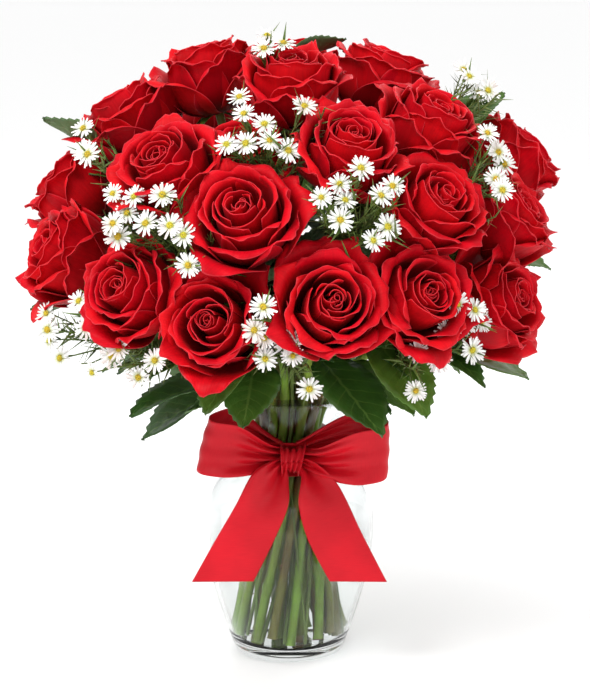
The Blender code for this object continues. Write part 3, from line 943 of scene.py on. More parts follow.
# %% [markdown]
# ## Leaves and sepals
# A rose leaf has a short stalk, a blade that is widest below its middle, saw teeth along both
# edges and a pointed tip. It folds a little along the midrib, droops, and ripples at its
# edges. A grid with a row for each tooth and each notch gives a true serrated outline instead
# of a painted one. Sepals are the five narrow green blades under a bloom.
# %% Leaf blades
TEETH = 13
LEAF_ACROSS = 6
STALK_ROWS = 3
BLADE_ROWS = 2 * TEETH
STALK_SHARE = 0.12
LEAF_THICKNESS = 0.0005
LEAF = dict(droop=0.16, fold=0.22, teeth=0.055)
SEPAL = dict(droop=0.45, fold=0.3, teeth=0.0)


def direction(azimuth, elevation):
    """A unit vector: azimuth 0 is the front, 90 is the right, and elevation 90 is up."""
    turn = math.radians(azimuth)
    lift = math.radians(elevation)
    return Vector((math.cos(lift) * math.sin(turn), -math.cos(lift) * math.cos(turn), math.sin(lift)))


def leaf_point(length, half, run, share, u, tooth, wave, bend, habit):
    """One point of a leaf that lies along +X: u runs from -1 to 1 across it."""
    outer = abs(u) > 0.99
    on_blade = share > 0
    x = run * length + (tooth * 0.9 if outer else 0.0) - 0.02 * length * u * u * on_blade
    y = half * u + (math.copysign(tooth * 0.35, u) if outer else 0.0) + bend * length * share**2
    z = habit["fold"] * abs(half * u) - habit["droop"] * length * run**2
    z += 0.022 * length * u * u * math.sin(9.0 * run + wave + u)
    z += 0.0007 * math.cos(math.tau * (7 * share - 1.5 * abs(u))) * (1 - u * u) * on_blade
    return Vector((x, y, z))


def fill_leaf(shape, rows, chart):
    """The faces of a leaf, with its top side up and its map from the blade's foot to its tip."""
    for j in range(len(rows) - 1):
        for i in range(LEAF_ACROSS):
            corners = ((i, j), (i, j + 1), (i + 1, j + 1), (i + 1, j))
            face = shape.faces.new([rows[y][x] for x, y in corners])
            for loop, (x, y) in zip(face.loops, corners):
                loop[chart].uv = (x / LEAF_ACROSS, max(0.0, (y - STALK_ROWS) / BLADE_ROWS))


def add_leaf(shape, layers, root, way, length, ratio, rng, roll=0.0, habit=LEAF):
    """Adds one leaf that starts at the root and points along way."""
    across = UP.cross(way).normalized()
    lying = Matrix((way, across, way.cross(across))).transposed()
    lying = lying @ Matrix.Rotation(math.radians(roll), 3, "X")
    tone = rng.random()
    wave = rng.uniform(0, math.tau)
    bend = rng.uniform(-0.10, 0.10)
    rows = []
    for j in range(STALK_ROWS + BLADE_ROWS + 1):
        share = max(0.0, (j - STALK_ROWS) / BLADE_ROWS)
        run = STALK_SHARE + (1 - STALK_SHARE) * share
        if j < STALK_ROWS:
            run = STALK_SHARE * j / STALK_ROWS
        half = 0.5 * ratio * length * math.sin(math.pi * share**0.80) ** 0.85
        half = max(half, 0.0008 if share < 0.98 else 0.0001)
        at_tooth = (j - STALK_ROWS) % 2 and 0.02 < share < 0.97
        tooth = habit["teeth"] * length * 0.5 if at_tooth else 0.0
        row = []
        for i in range(LEAF_ACROSS + 1):
            u = 2 * i / LEAF_ACROSS - 1
            place = leaf_point(length, half, run, share, u, tooth, wave, bend, habit)
            row.append(shape.verts.new(root + lying @ place))
            row[-1][layers["tone"]] = tone
        rows.append(row)
    fill_leaf(shape, rows, layers["chart"])


print("a leaf has", 2 * TEETH, "teeth")

# %% [markdown]
# ## Foliage as one piece
# The leaves of one stem are one mesh, since they grew as one with it. The sheet gets its
# thickness downwards, and the new underside takes the paler finish, so the top keeps its place
# and no leaf needs to be made twice.
# %% Helpers for foliage


def leaf_layers(shape):
    chart = shape.loops.layers.uv.new("leaf")
    return {"chart": chart, "tone": shape.verts.layers.float.new("tone")}


def finish_foliage(name, shape, *nodes):
    """Gives blades their thickness, with the paler finish on their undersides."""
    foliage = add_piece(name, shape, [LEAF_TOP, LEAF_BELOW])
    wall = finish_wall(foliage, LEAF_THICKNESS, -1.0)
    wall.material_offset = 1
    hand_over(foliage, "stem_and_leaf", *nodes)


print("helpers ready: foliage", round(LEAF_THICKNESS * 1000, 2), "mm thick")

# %% [markdown]
# ## Where the leaves grow
# The leaves that show are placed one by one, each on a rose's stem, as a florist would pull
# them forward to frame the blooms. A few more stand clear of the blooms, each from a point of
# its own in the bouquet, and four small ones on every stem fill the dark behind the blooms.
# Angles are used for their directions, because that is how the bouquet is looked at: round it
# and up it.
# %% Place the leaves
# Each leaf: the rose that bears it, its place on the stem from neck to bloom, the azimuth and
# elevation in which it points, its length and its roll about its midrib.
LEAVES = [
    (15, 0.62, 42, -30, 0.078, 0), (14, 0.66, -4, -30, 0.060, 0), (13, 0.40, -72, -6, 0.086, 0),
    (12, 0.30, -70, -18, 0.080, 0), (14, 0.40, -78, -8, 0.060, 0), (16, 0.78, 40, -32, 0.075, 0),
    (18, 0.66, 80, -5, 0.096, 0), (16, 0.52, 56, -20, 0.066, 0), (12, 0.90, -92, -12, 0.058, 0),
    (23, 0.60, 112, -24, 0.078, 0), (24, 0.62, 136, -32, 0.074, 0), (24, 0.46, 164, -36, 0.070, 0),
    (25, 0.62, -166, -28, 0.080, 0), (26, 0.60, -112, -26, 0.078, 0), (26, 0.50, -140, -40, 0.070, 0),
    (4, 0.86, -96, 20, 0.062, 0), (6, 0.88, 104, 24, 0.062, 0), (3, 0.80, 30, 62, 0.062, 0),
    (10, 0.80, -6, 58, 0.046, 0),
    (14, 0.72, -34, -24, 0.060, 10), (15, 0.50, 64, -16, 0.066, 0), (13, 0.74, -36, -16, 0.056, 0),
    (16, 0.66, 50, -10, 0.060, -10), (18, 0.78, 56, -24, 0.062, 0), (12, 0.60, -84, -24, 0.060, 0),
    (9, 0.80, 50, -8, 0.050, 0), (10, 0.74, -22, 4, 0.052, 0), (7, 0.80, 8, 24, 0.050, 0),
    (5, 0.84, -54, 12, 0.050, 0), (17, 0.80, 84, 2, 0.056, 0), (11, 0.80, -108, -4, 0.060, 0),
    (23, 0.80, 98, -12, 0.060, 0), (24, 0.80, 158, -14, 0.064, 0), (25, 0.80, 176, -14, 0.060, 0),
    (26, 0.80, -136, -10, 0.062, 0), (22, 0.84, 150, 22, 0.056, 0), (21, 0.84, -150, 22, 0.056, 0),
    (20, 0.84, 180, 44, 0.056, 0), (2, 0.86, 0, 52, 0.044, 0), (19, 0.90, -14, 32, 0.046, 0),
]
# Leaves that stand clear of the blooms, each with its own root: point, azimuth, elevation, length.
OUTER_LEAVES = [
    ((-0.112, 0.000, 0.347), -90, 36, 0.064), ((0.106, 0.000, 0.368), 90, 38, 0.050),
    ((0.124, 0.000, 0.294), 92, -12, 0.062), ((-0.122, -0.020, 0.274), -88, -14, 0.060),
    ((-0.006, 0.030, 0.410), 84, 34, 0.050), ((-0.090, 0.060, 0.262), -120, -20, 0.066),
    ((-0.070, -0.045, 0.236), -80, -12, 0.060), ((-0.088, -0.030, 0.256), -84, -4, 0.058),
    ((0.012, -0.070, 0.283), 0, 60, 0.046),
    ((0.096, 0.060, 0.262), 120, -20, 0.066), ((0.000, 0.118, 0.300), 176, -12, 0.060),
]
FILLERS = 4  # small leaves deeper in, on each stem
LEAF_RATIO = 0.66  # a leaf's width over its length


def add_leaves():
    by_rose = {number: [] for number in BLOOM_PLACES}
    for rose, *place in LEAVES:
        by_rose[rose].append(place)
    for number, leaves in by_rose.items():
        rng = random.Random(500 + number)
        shape = bmesh.new()
        layers = leaf_layers(shape)
        stem = ROUTES[number][1:]
        axis = BLOOM_PLACES[number][1]
        for share, azimuth, elevation, length, roll in leaves:
            way = direction(azimuth, elevation)
            add_leaf(shape, layers, along(stem, share), way, length, LEAF_RATIO, rng, roll)
        for _ in range(FILLERS):
            root = along(stem, rng.uniform(0.62, 0.84))
            sideways = direction(rng.uniform(0, 360), 0) * rng.uniform(0.5, 1.2)
            way = (axis + sideways).normalized()
            length = rng.uniform(0.040, 0.056)
            add_leaf(shape, layers, root, way, length, 0.62, rng, rng.uniform(-50, 50))
        finish_foliage(f"leaves_{number:02d}", shape, f"stem_{number:02d}")


def add_outer_leaves():
    rng = random.Random(600)
    shape = bmesh.new()
    layers = leaf_layers(shape)
    for root, azimuth, elevation, length in OUTER_LEAVES:
        way = direction(azimuth, elevation)
        add_leaf(shape, layers, Vector(root), way, length, 0.60, rng, rng.uniform(-40, 40))
    finish_foliage("outer_leaves", shape)


add_leaves()
add_outer_leaves()
print(len(LEAVES) + len(OUTER_LEAVES), "leaves, and", FILLERS * ROSE_COUNT, "fillers")

# %% [markdown]
# ## Sepals
# Five narrow green blades spread or droop under each bloom, where the bud's green jacket
# opened. They are leaves without teeth, long and thin, so the leaf's own recipe makes them
# with another habit.
# %% Place the sepals
SEPALS = 5
SEPAL_RATIO = 0.26


def add_sepals():
    for number, (base, axis) in BLOOM_PLACES.items():
        rng = random.Random(700 + number)
        shape = bmesh.new()
        layers = leaf_layers(shape)
        turn = axis.to_track_quat("Z", "Y")
        start = rng.uniform(0, 360 / SEPALS)
        for index in range(SEPALS):
            way = turn @ direction(start + 360 / SEPALS * index, rng.uniform(-30, 35))
            length = rng.uniform(0.020, 0.027)
            root = base + axis * 0.001
            add_leaf(shape, layers, root, way, length, SEPAL_RATIO, rng, habit=SEPAL)
        finish_foliage(f"sepals_{number:02d}", shape)


add_sepals()
print(SEPALS * ROSE_COUNT, "sepals")

# %% [markdown]
# ## Aster finishes
# The little asters have two dozen narrow white rays, faintly creased along their length and
# greenish where they meet the eye. The eye is a cushion of yellow florets that turns amber
# with age, so its colour wanders from flower to flower.
# %% Finishes: rays and eyes


def ray_finish():
    material, tree, shader = new_material("aster_rays", 0.6, 0.3)
    run = value_on_mesh(tree, "run")
    spot = object_place(tree)
    patch = place_group(tree, MOTTLING, {"Vector": spot, "Scale": 140.0, "Depth": 0.10})
    body = blend(tree, ramp(tree, run, 0.05, 0.45), (0.62, 0.66, 0.38, 1), (0.88, 0.88, 0.86, 1))
    body = scaled(tree, body, patch["Tone"])
    wide_patch = place_group(tree, MOTTLING, {"Vector": spot, "Scale": 24.0, "Depth": 0.0})
    withered = ramp(tree, wide_patch["Mask"], 0.80, 0.98)
    body = blend(tree, sums(tree, "MULTIPLY", withered, 0.40), body, (0.66, 0.48, 0.42, 1))
    tree.links.new(body, shader.inputs["Base Color"])
    return material


def eye_finish():
    material, tree, shader = new_material("aster_eye", 0.7, 0.3)
    spot = object_place(tree)
    age = place_group(tree, MOTTLING, {"Vector": spot, "Scale": 22.0, "Depth": 0.2})["Mask"]
    cells = add_node(tree, "ShaderNodeTexVoronoi", {"Vector": spot, "Scale": 1500.0})
    florets = cells.outputs["Distance"]
    body = blend(tree, age, (0.66, 0.64, 0.035, 1), (0.66, 0.40, 0.015, 1))
    body = blend(tree, ramp(tree, florets, 0.35, 0.75), body, (0.28, 0.20, 0.02, 1))
    tree.links.new(body, shader.inputs["Base Color"])
    give_relief(tree, shader, florets, 0.6, 0.0005, sunk=True)
    return material


ASTER_RAYS = ray_finish()
ASTER_EYE = eye_finish()
print("finishes:", ASTER_RAYS.name, ASTER_EYE.name)

# %% [markdown]
# ## Aster flowers
# There are about a hundred flower heads, each with a ring of rays, so they are grown by nodes.
# One ray is bent from a small grid and stays at a few faces. It is set all round a yellow eye,
# each copy a little out of true, and a green cup holds the ring from below.
# %% Node tree: the parts of an aster head


def bent_ray(tree, given):
    """One ray: a small grid, blunt at its tip, cupped upwards and creased along its middle."""
    size = {"Size X": 1.0, "Size Y": 1.0, "Vertices X": 4, "Vertices Y": 3}
    grid = step(tree, "GeometryNodeMeshGrid", size)
    axes = axes_of(tree, step(tree, "GeometryNodeInputPosition"))
    run = sums(tree, "ADD", axes[0], 0.5)
    stored = {"Geometry": grid, "Name": "run", "Value": run}
    grid = step(
        tree, "GeometryNodeStoreNamedAttribute", stored, data_type="FLOAT", domain="POINT"
    )
    belly = sums(tree, "SINE", sums(tree, "MULTIPLY_ADD", run, 1.90, 0.55))
    long = sums(tree, "MULTIPLY", run, given["Ray Length"])
    wide = sums(tree, "MULTIPLY", sums(tree, "MULTIPLY", axes[1], belly), given["Ray Width"])
    rise = sums(tree, "MULTIPLY", sums(tree, "POWER", run, 2.0), given["Ray Length"])
    lift = sums(tree, "MULTIPLY", rise, given["Cup"])
    crease = sums(tree, "MULTIPLY", sums(tree, "ABSOLUTE", axes[1]), 0.0007)
    outward = sums(tree, "ADD", long, sums(tree, "MULTIPLY", given["Eye Radius"], 0.75))
    high = sums(tree, "ADD", lift, crease)
    bent = step(tree, "ShaderNodeCombineXYZ", {0: outward, 1: wide, 2: high})
    ray = step(tree, "GeometryNodeSetPosition", {"Geometry": grid, "Position": bent})
    return painted(tree, ray, given["Ray Skin"])


def ring_of_rays(tree, given):
    """The ray set all round, each a little out of true and of its own length."""
    ring = step(tree, "GeometryNodePoints", {"Count": given["Rays"]})
    number = step(tree, "GeometryNodeInputIndex")
    turn = sums(tree, "MULTIPLY", sums(tree, "DIVIDE", number, given["Rays"]), math.tau)
    sway = chance_turn(tree, (-0.2, -0.28, -0.10), (0.2, 0.22, 0.10), given["Seed"])
    round_axis = step(tree, "ShaderNodeCombineXYZ", {2: turn})
    angles = step(tree, "ShaderNodeVectorMath", {0: sway, 1: round_axis})
    size = chance_size(tree, 0.82, 1.05, given["Seed"])
    inputs = {"Points": ring, "Instance": bent_ray(tree, given)}
    inputs.update({"Rotation": angles, "Scale": size})
    return step(tree, "GeometryNodeInstanceOnPoints", inputs)


def moved(tree, geometry, place=(0, 0, 0), scale=(1, 1, 1)):
    inputs = {"Geometry": geometry, "Translation": place, "Scale": scale}
    return step(tree, "GeometryNodeTransform", inputs)


def eye_and_cup(tree, given):
    """The yellow cushion in the middle of a head, and the green cup that holds the rays."""
    ball = {"Segments": 9, "Rings": 5, "Radius": given["Eye Radius"]}
    eye = step(tree, "GeometryNodeMeshUVSphere", ball)
    eye = moved(tree, eye, (0, 0, 0.0003), (1, 1, 0.62))
    cone = {"Vertices": 8, "Radius Top": 0.0019, "Radius Bottom": 0.0006, "Depth": 0.0032}
    cup = moved(tree, step(tree, "GeometryNodeMeshCone", cone), (0, 0, -0.0036))
    return painted(tree, eye, given["Eye Skin"]), painted(tree, cup, given["Green Skin"])


print("helpers ready: rays, eye and cup")

# %% [markdown]
# ## A tree that grows aster heads
# A head is set on every point of a scatter mesh, turned the way that point says and spun by
# chance. Copies alone would all be alike, so a last nudge by a noise, after the copies have
# become real geometry, makes every head differ.
# %% Node tree: aster heads


def nudged(tree, geometry, amount):
    """Every point moved a little by a noise, so that no two heads are the same."""
    place = step(tree, "GeometryNodeInputPosition")
    noise = add_node(tree, "ShaderNodeTexNoise", {"Vector": place, "Scale": 260.0})
    middle = {0: noise.outputs["Color"], 1: (0.5, 0.5, 0.5)}
    centred = step(tree, "ShaderNodeVectorMath", middle, operation="SUBTRACT")
    inputs = {"Geometry": geometry, "Offset": scaled(tree, centred, amount)}
    return step(tree, "GeometryNodeSetPosition", inputs)


def head_grower():
    inputs = [
        ("Rays", "NodeSocketInt", 24),
        ("Ray Length", "NodeSocketFloat", 0.0062),
        ("Ray Width", "NodeSocketFloat", 0.0014),
        ("Eye Radius", "NodeSocketFloat", 0.0020),
        ("Cup", "NodeSocketFloat", 0.10),
        ("Unevenness", "NodeSocketFloat", 0.0010),
        ("Seed", "NodeSocketInt", 1),
        ("Ray Skin", "NodeSocketMaterial", None),
        ("Eye Skin", "NodeSocketMaterial", None),
        ("Green Skin", "NodeSocketMaterial", None),
    ]
    tree, given, result = new_grower("aster heads", inputs)
    head = joined(tree, ring_of_rays(tree, given), *eye_and_cup(tree, given))
    named = "GeometryNodeInputNamedAttribute"
    facing = step(tree, named, {"Name": "facing"}, data_type="FLOAT_VECTOR")
    size = step(tree, named, {"Name": "size"}, data_type="FLOAT")
    aim = step(tree, "FunctionNodeAlignRotationToVector", {"Vector": facing}, axis="Z")
    spin = chance_turn(tree, (0, 0, 0), (0, 0, math.tau), given["Seed"])
    aim = turned_further(tree, aim, spin)
    inputs = {"Points": given["Geometry"], "Instance": head, "Rotation": aim, "Scale": size}
    heads = step(tree, "GeometryNodeInstanceOnPoints", inputs)
    heads = step(tree, "GeometryNodeRealizeInstances", {0: heads})
    heads = nudged(tree, heads, given["Unevenness"])
    tree.links.new(step(tree, "GeometryNodeSetShadeSmooth", {"Geometry": heads}), result[0])
    return tree


HEAD_GROWER = head_grower()
print("node tree:", HEAD_GROWER.name)

# %% [markdown]
# ## Aster twigs
# A twig is thin and wiry, and needle-like leaves stand all along it, but only above the vase,
# because a florist strips what would stand in the water. The tree is the stems' tree with
# other parts: a skin along the curves, and needles in place of thorns.
# %% Node tree: aster twigs


def needles_on(tree, line, given):
    """Flat needles on every point of a curve that is high enough."""
    inputs = {"Curve": line, "Length": given["Needle Spacing"]}
    spots = add_node(tree, "GeometryNodeCurveToPoints", inputs, mode="LENGTH").outputs
    height = axes_of(tree, step(tree, "GeometryNodeInputPosition"))[2]
    above = step(
        tree,
        "FunctionNodeCompare",
        {0: height, 1: given["Lowest Needle"]},
        data_type="FLOAT",
        operation="GREATER_THAN",
    )
    cone = {"Vertices": 4, "Radius Top": 0.00004, "Radius Bottom": 0.0006}
    blade = step(tree, "GeometryNodeMeshCone", {**cone, "Depth": given["Needle Length"]})
    blade = moved(tree, blade, scale=(1.7, 0.5, 1.0))
    lean = chance_turn(tree, (0.5, 0, 0), (1.15, 0, math.tau), given["Seed"])
    aim = turned_further(tree, spots["Rotation"], lean)
    size = chance_size(tree, 0.5, 1.3, given["Seed"])
    inputs = {"Points": spots[0], "Selection": above, "Instance": blade}
    inputs.update({"Rotation": aim, "Scale": size})
    needles = step(tree, "GeometryNodeInstanceOnPoints", inputs)
    return step(tree, "GeometryNodeRealizeInstances", {0: needles})


def twig_grower():
    inputs = [
        ("Radius", "NodeSocketFloat", 0.0009),
        ("Needle Length", "NodeSocketFloat", 0.013),
        ("Needle Spacing", "NodeSocketFloat", 0.0026),
        ("Lowest Needle", "NodeSocketFloat", 0.225),
        ("Seed", "NodeSocketInt", 1),
        ("Skin", "NodeSocketMaterial", None),
    ]
    tree, given, result = new_grower("aster twigs", inputs)
    line = even_line(tree, given["Geometry"], 0.004)
    own_radius = step(tree, "GeometryNodeInputRadius")
    girth = sums(tree, "MULTIPLY", own_radius, given["Radius"])
    both = joined(tree, needles_on(tree, line, given), round_skin(tree, line, girth, 6))
    smooth = step(tree, "GeometryNodeSetShadeSmooth", {"Geometry": both})
    tree.links.new(painted(tree, smooth, given["Skin"]), result[0])
    return tree


TWIG_GROWER = twig_grower()
print("node tree:", TWIG_GROWER.name)

# %% [markdown]
# ## Where the asters sit
# Each spray has one thin stem in the vase, which forks above the neck and sends a branch up
# between the roses to each cluster. The heads of a cluster sit near the dome of the blooms.
# The places are given by angle on that dome, as the roses' are, so the clusters fill the gaps
# that the roses leave.
# %% Places of the clusters
DOME_CENTRE = Vector((0, 0, 0.290))
DOME_RADIUS = 0.1719
DOME_FLATNESS = 0.87
HUB_RADIUS = 0.055
HUB_HEIGHT = 0.220
SPRAY_AZIMUTHS = {1: -47, 2: 9, 3: 57, 4: 127, 5: -150}
# Each cluster: its spray, how far out it sits, and the azimuth and elevation of each head.
CLUSTERS = [
    (1, 1.00, [(-43, 21), (-39, 17), (-29, 22), (-40, 14), (-33, 15), (-26, 15), (-40, 11),
               (-23, 13), (-21, 6), (-37, 21)]),
    (1, 1.06, [(-74, -18), (-78, -22), (-70, -25), (-66, -12), (-60, -14)]),
    (1, 1.00, [(-56, -8), (-55, -15), (-56, -27), (-42, -18), (-31, -19), (-39, -26), (-48, -22)]),
    (1, 1.02, [(-74, 35), (-56, 29), (-66, 30)]),
    (2, 0.99, [(-5, -3), (-5, -11), (-5, -17), (0, -13), (1, -16), (5, -26), (-7, -9)]),
    (2, 1.02, [(17, 29), (12, 26), (7, 22), (11, 17), (20, 22), (23, 24), (18, 12), (13, 22),
               (22, 15)]),
    (2, 0.98, [(-17, 51), (-14, 46), (-7, 43), (5, 47), (-17, 37), (-12, 38), (0, 36), (-5, 38)]),
    (3, 1.00, [(40, -6), (45, -8), (44, -12), (49, -12), (38, -13), (45, -18), (30, -17),
               (38, -21), (32, -28)]),
    (3, 1.02, [(62, 29), (66, 26), (54, 20), (57, 23), (69, 30), (60, 34)]),
    (3, 1.06, [(74, 48), (84, 50), (90, 47), (84, 43), (76, 43), (92, 43)]),
    (4, 1.00, [(120, -14), (127, -10), (134, -14), (126, -20), (131, -19), (138, -8)]),
    (4, 1.00, [(122, 26), (128, 22), (133, 27), (126, 31), (119, 21)]),
    (4, 1.00, [(170, -10), (178, -14), (172, -18), (164, -14)]),
    (5, 1.00, [(-148, -12), (-142, -16), (-153, -17), (-146, -21), (-158, -12)]),
    (5, 1.00, [(-131, 24), (-125, 20), (-137, 19), (-128, 28), (-121, 25)]),
    (5, 0.99, [(176, 40), (-176, 36), (-172, 42), (-179, 45)]),
    (5, 1.02, [(-18, 75), (-3, 70), (-14, 68)]),
]


def on_dome(azimuth, elevation, reach):
    way = direction(azimuth, elevation)
    way.z *= DOME_FLATNESS
    return DOME_CENTRE + way * DOME_RADIUS * reach


def spray_hub(number):
    """Where a spray forks: turned half as far out of the neck as its azimuth asks."""
    neck = neck_of(corners_of(f"aster_spray_{number}"))
    neck_azimuth = math.degrees(math.atan2(neck.x, -neck.y))
    gap = (SPRAY_AZIMUTHS[number] - neck_azimuth + 180) % 360 - 180
    return direction(neck_azimuth + gap / 2, 0) * HUB_RADIUS + UP * HUB_HEIGHT


print(sum(len(places) for _, _, places in CLUSTERS), "heads in", len(CLUSTERS), "clusters")

# %% [markdown]
# ## The lines of a cluster
# A cluster is a branch that forks into a stalk for each head and a leafy shoot beside it. The
# heads look outwards and a little up, and those on the near side turn to the front, as flowers
# turn to the light of a window. Every line is a Bezier arc, because a stalk leaves its branch
# along it and bends only slowly.
# %% Lines and heads of a cluster
TO_FRONT = Vector((0, -1, 0))
NEAR_SIDE = 0.03  # heads in front of this turn towards the front
MIDDLE_HALF = 0.06  # and more so, the further past this they are to one side
CLUSTER_DEPTH = 0.052  # from a cluster's fork to the middle of its heads


def shake(rng):
    """A small move in any direction."""
    return Vector((rng.uniform(-1, 1), rng.uniform(-1, 1), rng.uniform(-1, 1)))


def head_way(spot, middle, rng):
    """The way a head looks."""
    way = (spot - AIM_POINT).normalized() + (spot - middle) * 8 + UP * 0.15
    if spot.y < NEAR_SIDE:
        way += TO_FRONT * (0.5 + 6 * max(0.0, abs(spot.x) - MIDDLE_HALF))
    return (way + shake(rng) * 0.16).normalized()


def cluster_lines(hub, reach, places, rng):
    """The branch from the hub to a cluster, a stalk to each head, and the heads themselves."""
    spots = []
    for azimuth, elevation in places:
        spots.append(on_dome(azimuth, elevation, reach * rng.uniform(0.965, 1.03)))
    middle = middle_of(spots)
    axis = (middle - AIM_POINT).normalized()
    fork = middle - axis * CLUSTER_DEPTH
    leaving = hub.lerp(fork, 0.45) + UP * 0.004
    lines = [interpolate_bezier(hub, leaving, fork - axis * 0.024, fork, 9)]
    heads = []
    for spot in spots:
        way = head_way(spot, middle, rng)
        start = fork - axis * rng.uniform(0.0, 0.012)
        end = spot - way * 0.0035
        lines.append(interpolate_bezier(start, start + axis * 0.020, end - way * 0.012, end, 7))
        tip = spot + shake(rng) * 0.012 - axis * 0.012
        lines.append(interpolate_bezier(start, start + axis * 0.016, tip - axis * 0.014, tip, 6))
        heads.append((spot, way, rng.uniform(0.98, 1.24)))
    return lines, heads


print("a cluster forks", round(CLUSTER_DEPTH * 1000), "mm behind its heads")

# %% [markdown]
# ## Making the sprays
# The twigs' tree runs on the lines of a spray, and the heads' tree on a scatter of points, one
# for each head, which carry the way it looks and its size. Two more stalks cross the bundle in
# the vase at each spray, so the stems don't all lean the same way there.
# %% Make the sprays
STALK_GIRTH = 1.4
BRANCH_GIRTH = 0.95
TWIG_GIRTH = 0.55
SPRAY_AGE = 0.15


def scatter(name, heads):
    """A mesh of loose points that says where each head is, which way it faces and its size."""
    mesh = bpy.data.meshes.new(name)
    mesh.from_pydata([place for place, _, _ in heads], [], [])
    facing = mesh.attributes.new("facing", "FLOAT_VECTOR", "POINT")
    facing.data.foreach_set("vector", [value for _, way, _ in heads for value in way])
    size = mesh.attributes.new("size", "FLOAT", "POINT")
    size.data.foreach_set("value", [scale for _, _, scale in heads])
    carrier = bpy.data.objects.new(name, mesh)
    bpy.context.scene.collection.objects.link(carrier)
    return carrier


def spray_lines(number, hub, rng):
    """Every line of a spray with its girth, and all of its heads."""
    outward = direction(math.degrees(math.atan2(hub.x, -hub.y)), 20)
    route = stem_route(f"aster_spray_{number}", hub, outward)
    lines = [route]
    girths = [STALK_GIRTH]
    for side in (-1, 1):
        turn = Matrix.Rotation(math.radians(side * rng.uniform(50, 120)), 3, "Z")
        lines.append([turn @ route[0], route[1]])
        girths.append(rng.uniform(1.0, 1.8))
    heads = []
    for spray, reach, places in CLUSTERS:
        if spray != number:
            continue
        more, blooms = cluster_lines(hub, reach, places, rng)
        lines += more
        girths += [BRANCH_GIRTH] + [TWIG_GIRTH] * (len(more) - 1)
        heads += blooms
    return lines, girths, heads


def add_sprays():
    total = 0
    for number in SPRAY_AZIMUTHS:
        rng = random.Random(900 + number)
        node = f"aster_spray_{number}"
        lines, girths, heads = spray_lines(number, spray_hub(number), rng)
        values = {"Seed": number, "Skin": ASTER_STEM}
        twigs_name = f"aster_twigs_{number}"
        twigs = grow(line_object(node, lines, girths), TWIG_GROWER, values, twigs_name)
        mark_age(twigs.data, SPRAY_AGE)
        hand_over(twigs, "aster_spray", node)
        values = {
            "Seed": number,
            "Ray Skin": ASTER_RAYS,
            "Eye Skin": ASTER_EYE,
            "Green Skin": ASTER_STEM,
        }
        flowers_name = f"aster_flowers_{number}"
        flowers = grow(scatter(node + "_heads", heads), HEAD_GROWER, values, flowers_name)
        hand_over(flowers, "aster_spray", node)
        total += len(heads)
    return total


print(add_sprays(), "aster heads on", len(SPRAY_AZIMUTHS), "sprays")

# %% [markdown]
# ## Glass and water
# The vase is clear blown glass, so its finish is refraction with a few faint ripples. Lamps
# can't find their way through two curved walls by chance alone, so the glass lets shadow rays
# pass, as real glass would, and the stems inside are lit. The water is a body of its own and
# stops a hair short of the glass. It bends light less than real water does, because that hair
# of air would otherwise mirror the room in a hard dark ring.
# %% Finishes: glass and water


def clear_finish(name, tint, ior, ripple_scale, ripple_depth, shade):
    material, tree, shader = new_material(name, 0.0)
    shader.inputs["Base Color"].default_value = tint
    shader.inputs["Transmission Weight"].default_value = 1.0
    shader.inputs["IOR"].default_value = ior
    shader.inputs["Specular Tint"].default_value = (0.5, 0.5, 0.5, 1)
    noise = {"Vector": object_place(tree), "Scale": ripple_scale, "Detail": 1.0}
    ripple = step(tree, "ShaderNodeTexNoise", noise)
    give_relief(tree, shader, ripple, 0.12, ripple_depth)
    shadow_ray = add_node(tree, "ShaderNodeLightPath").outputs["Is Shadow Ray"]
    through = step(tree, "ShaderNodeBsdfTransparent", {"Color": shade})
    finish = {0: shadow_ray, 1: shader.outputs[0], 2: through}
    mixed = step(tree, "ShaderNodeMixShader", finish)
    tree.links.new(mixed, tree.nodes["Material Output"].inputs["Surface"])
    return material


CLEAR_GLASS = clear_finish(
    name="clear_glass",
    tint=(0.900, 0.918, 0.918, 1),
    ior=1.47,
    ripple_scale=24.0,
    ripple_depth=0.0012,
    shade=(0.93, 0.94, 0.94, 1),
)
WATER = clear_finish(
    name="water",
    tint=(0.99, 1.0, 0.99, 1),
    ior=1.18,
    ripple_scale=12.0,
    ripple_depth=0.0004,
    shade=(0.97, 0.98, 0.98, 1),
)
print("finishes:", CLEAR_GLASS.name, WATER.name)

# %% [markdown]
# ## Quiet top edges
# Where clear glass or water ends, its edge gathers the dark of the room into a hard line. On
# the real vase that line is broken by the wet glass and the crowd of stems. Here both finishes
# fade a little towards their top edges, the water over a good depth and the glass only at the
# rim.
# %% Fade the top edges
VASE_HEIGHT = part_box("glass_vase")[1].z
WATER_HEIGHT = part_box("water")[1].z


def fade_top(material, low, high, least):
    """Makes a clear finish fade between two heights, down to the least share of itself."""
    tree = material.node_tree
    height = axes_of(tree, object_place(tree))[2]
    share = sums(tree, "MULTIPLY_ADD", ramp(tree, height, low, high), least - 1.0, 1.0)
    tree.links.new(share, tree.nodes["Principled BSDF"].inputs["Alpha"])


fade_top(WATER, 0.050, 0.0940, 0.06)
fade_top(CLEAR_GLASS, 0.182, 0.1895, 0.35)
print("vase", round(VASE_HEIGHT * 1000), "mm tall, water", round(WATER_HEIGHT * 1000), "mm deep")

# %% [markdown]
# ## The vase's outline
# A ginger-jar vase: a thick foot, a belly, a narrow neck and a flared, fire-polished rim. Its
# outline is three Bezier arcs between the foot, the belly, the neck and the rim, because a
# glass-blower's line has no corners. The hollow is the same outline moved in by the wall.
# %% Outline of the vase
BASE_RADIUS = 0.0405
BASE_ROUNDING = 0.006
BELLY_RADIUS = 0.060
BELLY_HEIGHT = 0.094
NECK_RADIUS = 0.0252
RIM_RADIUS = 0.046


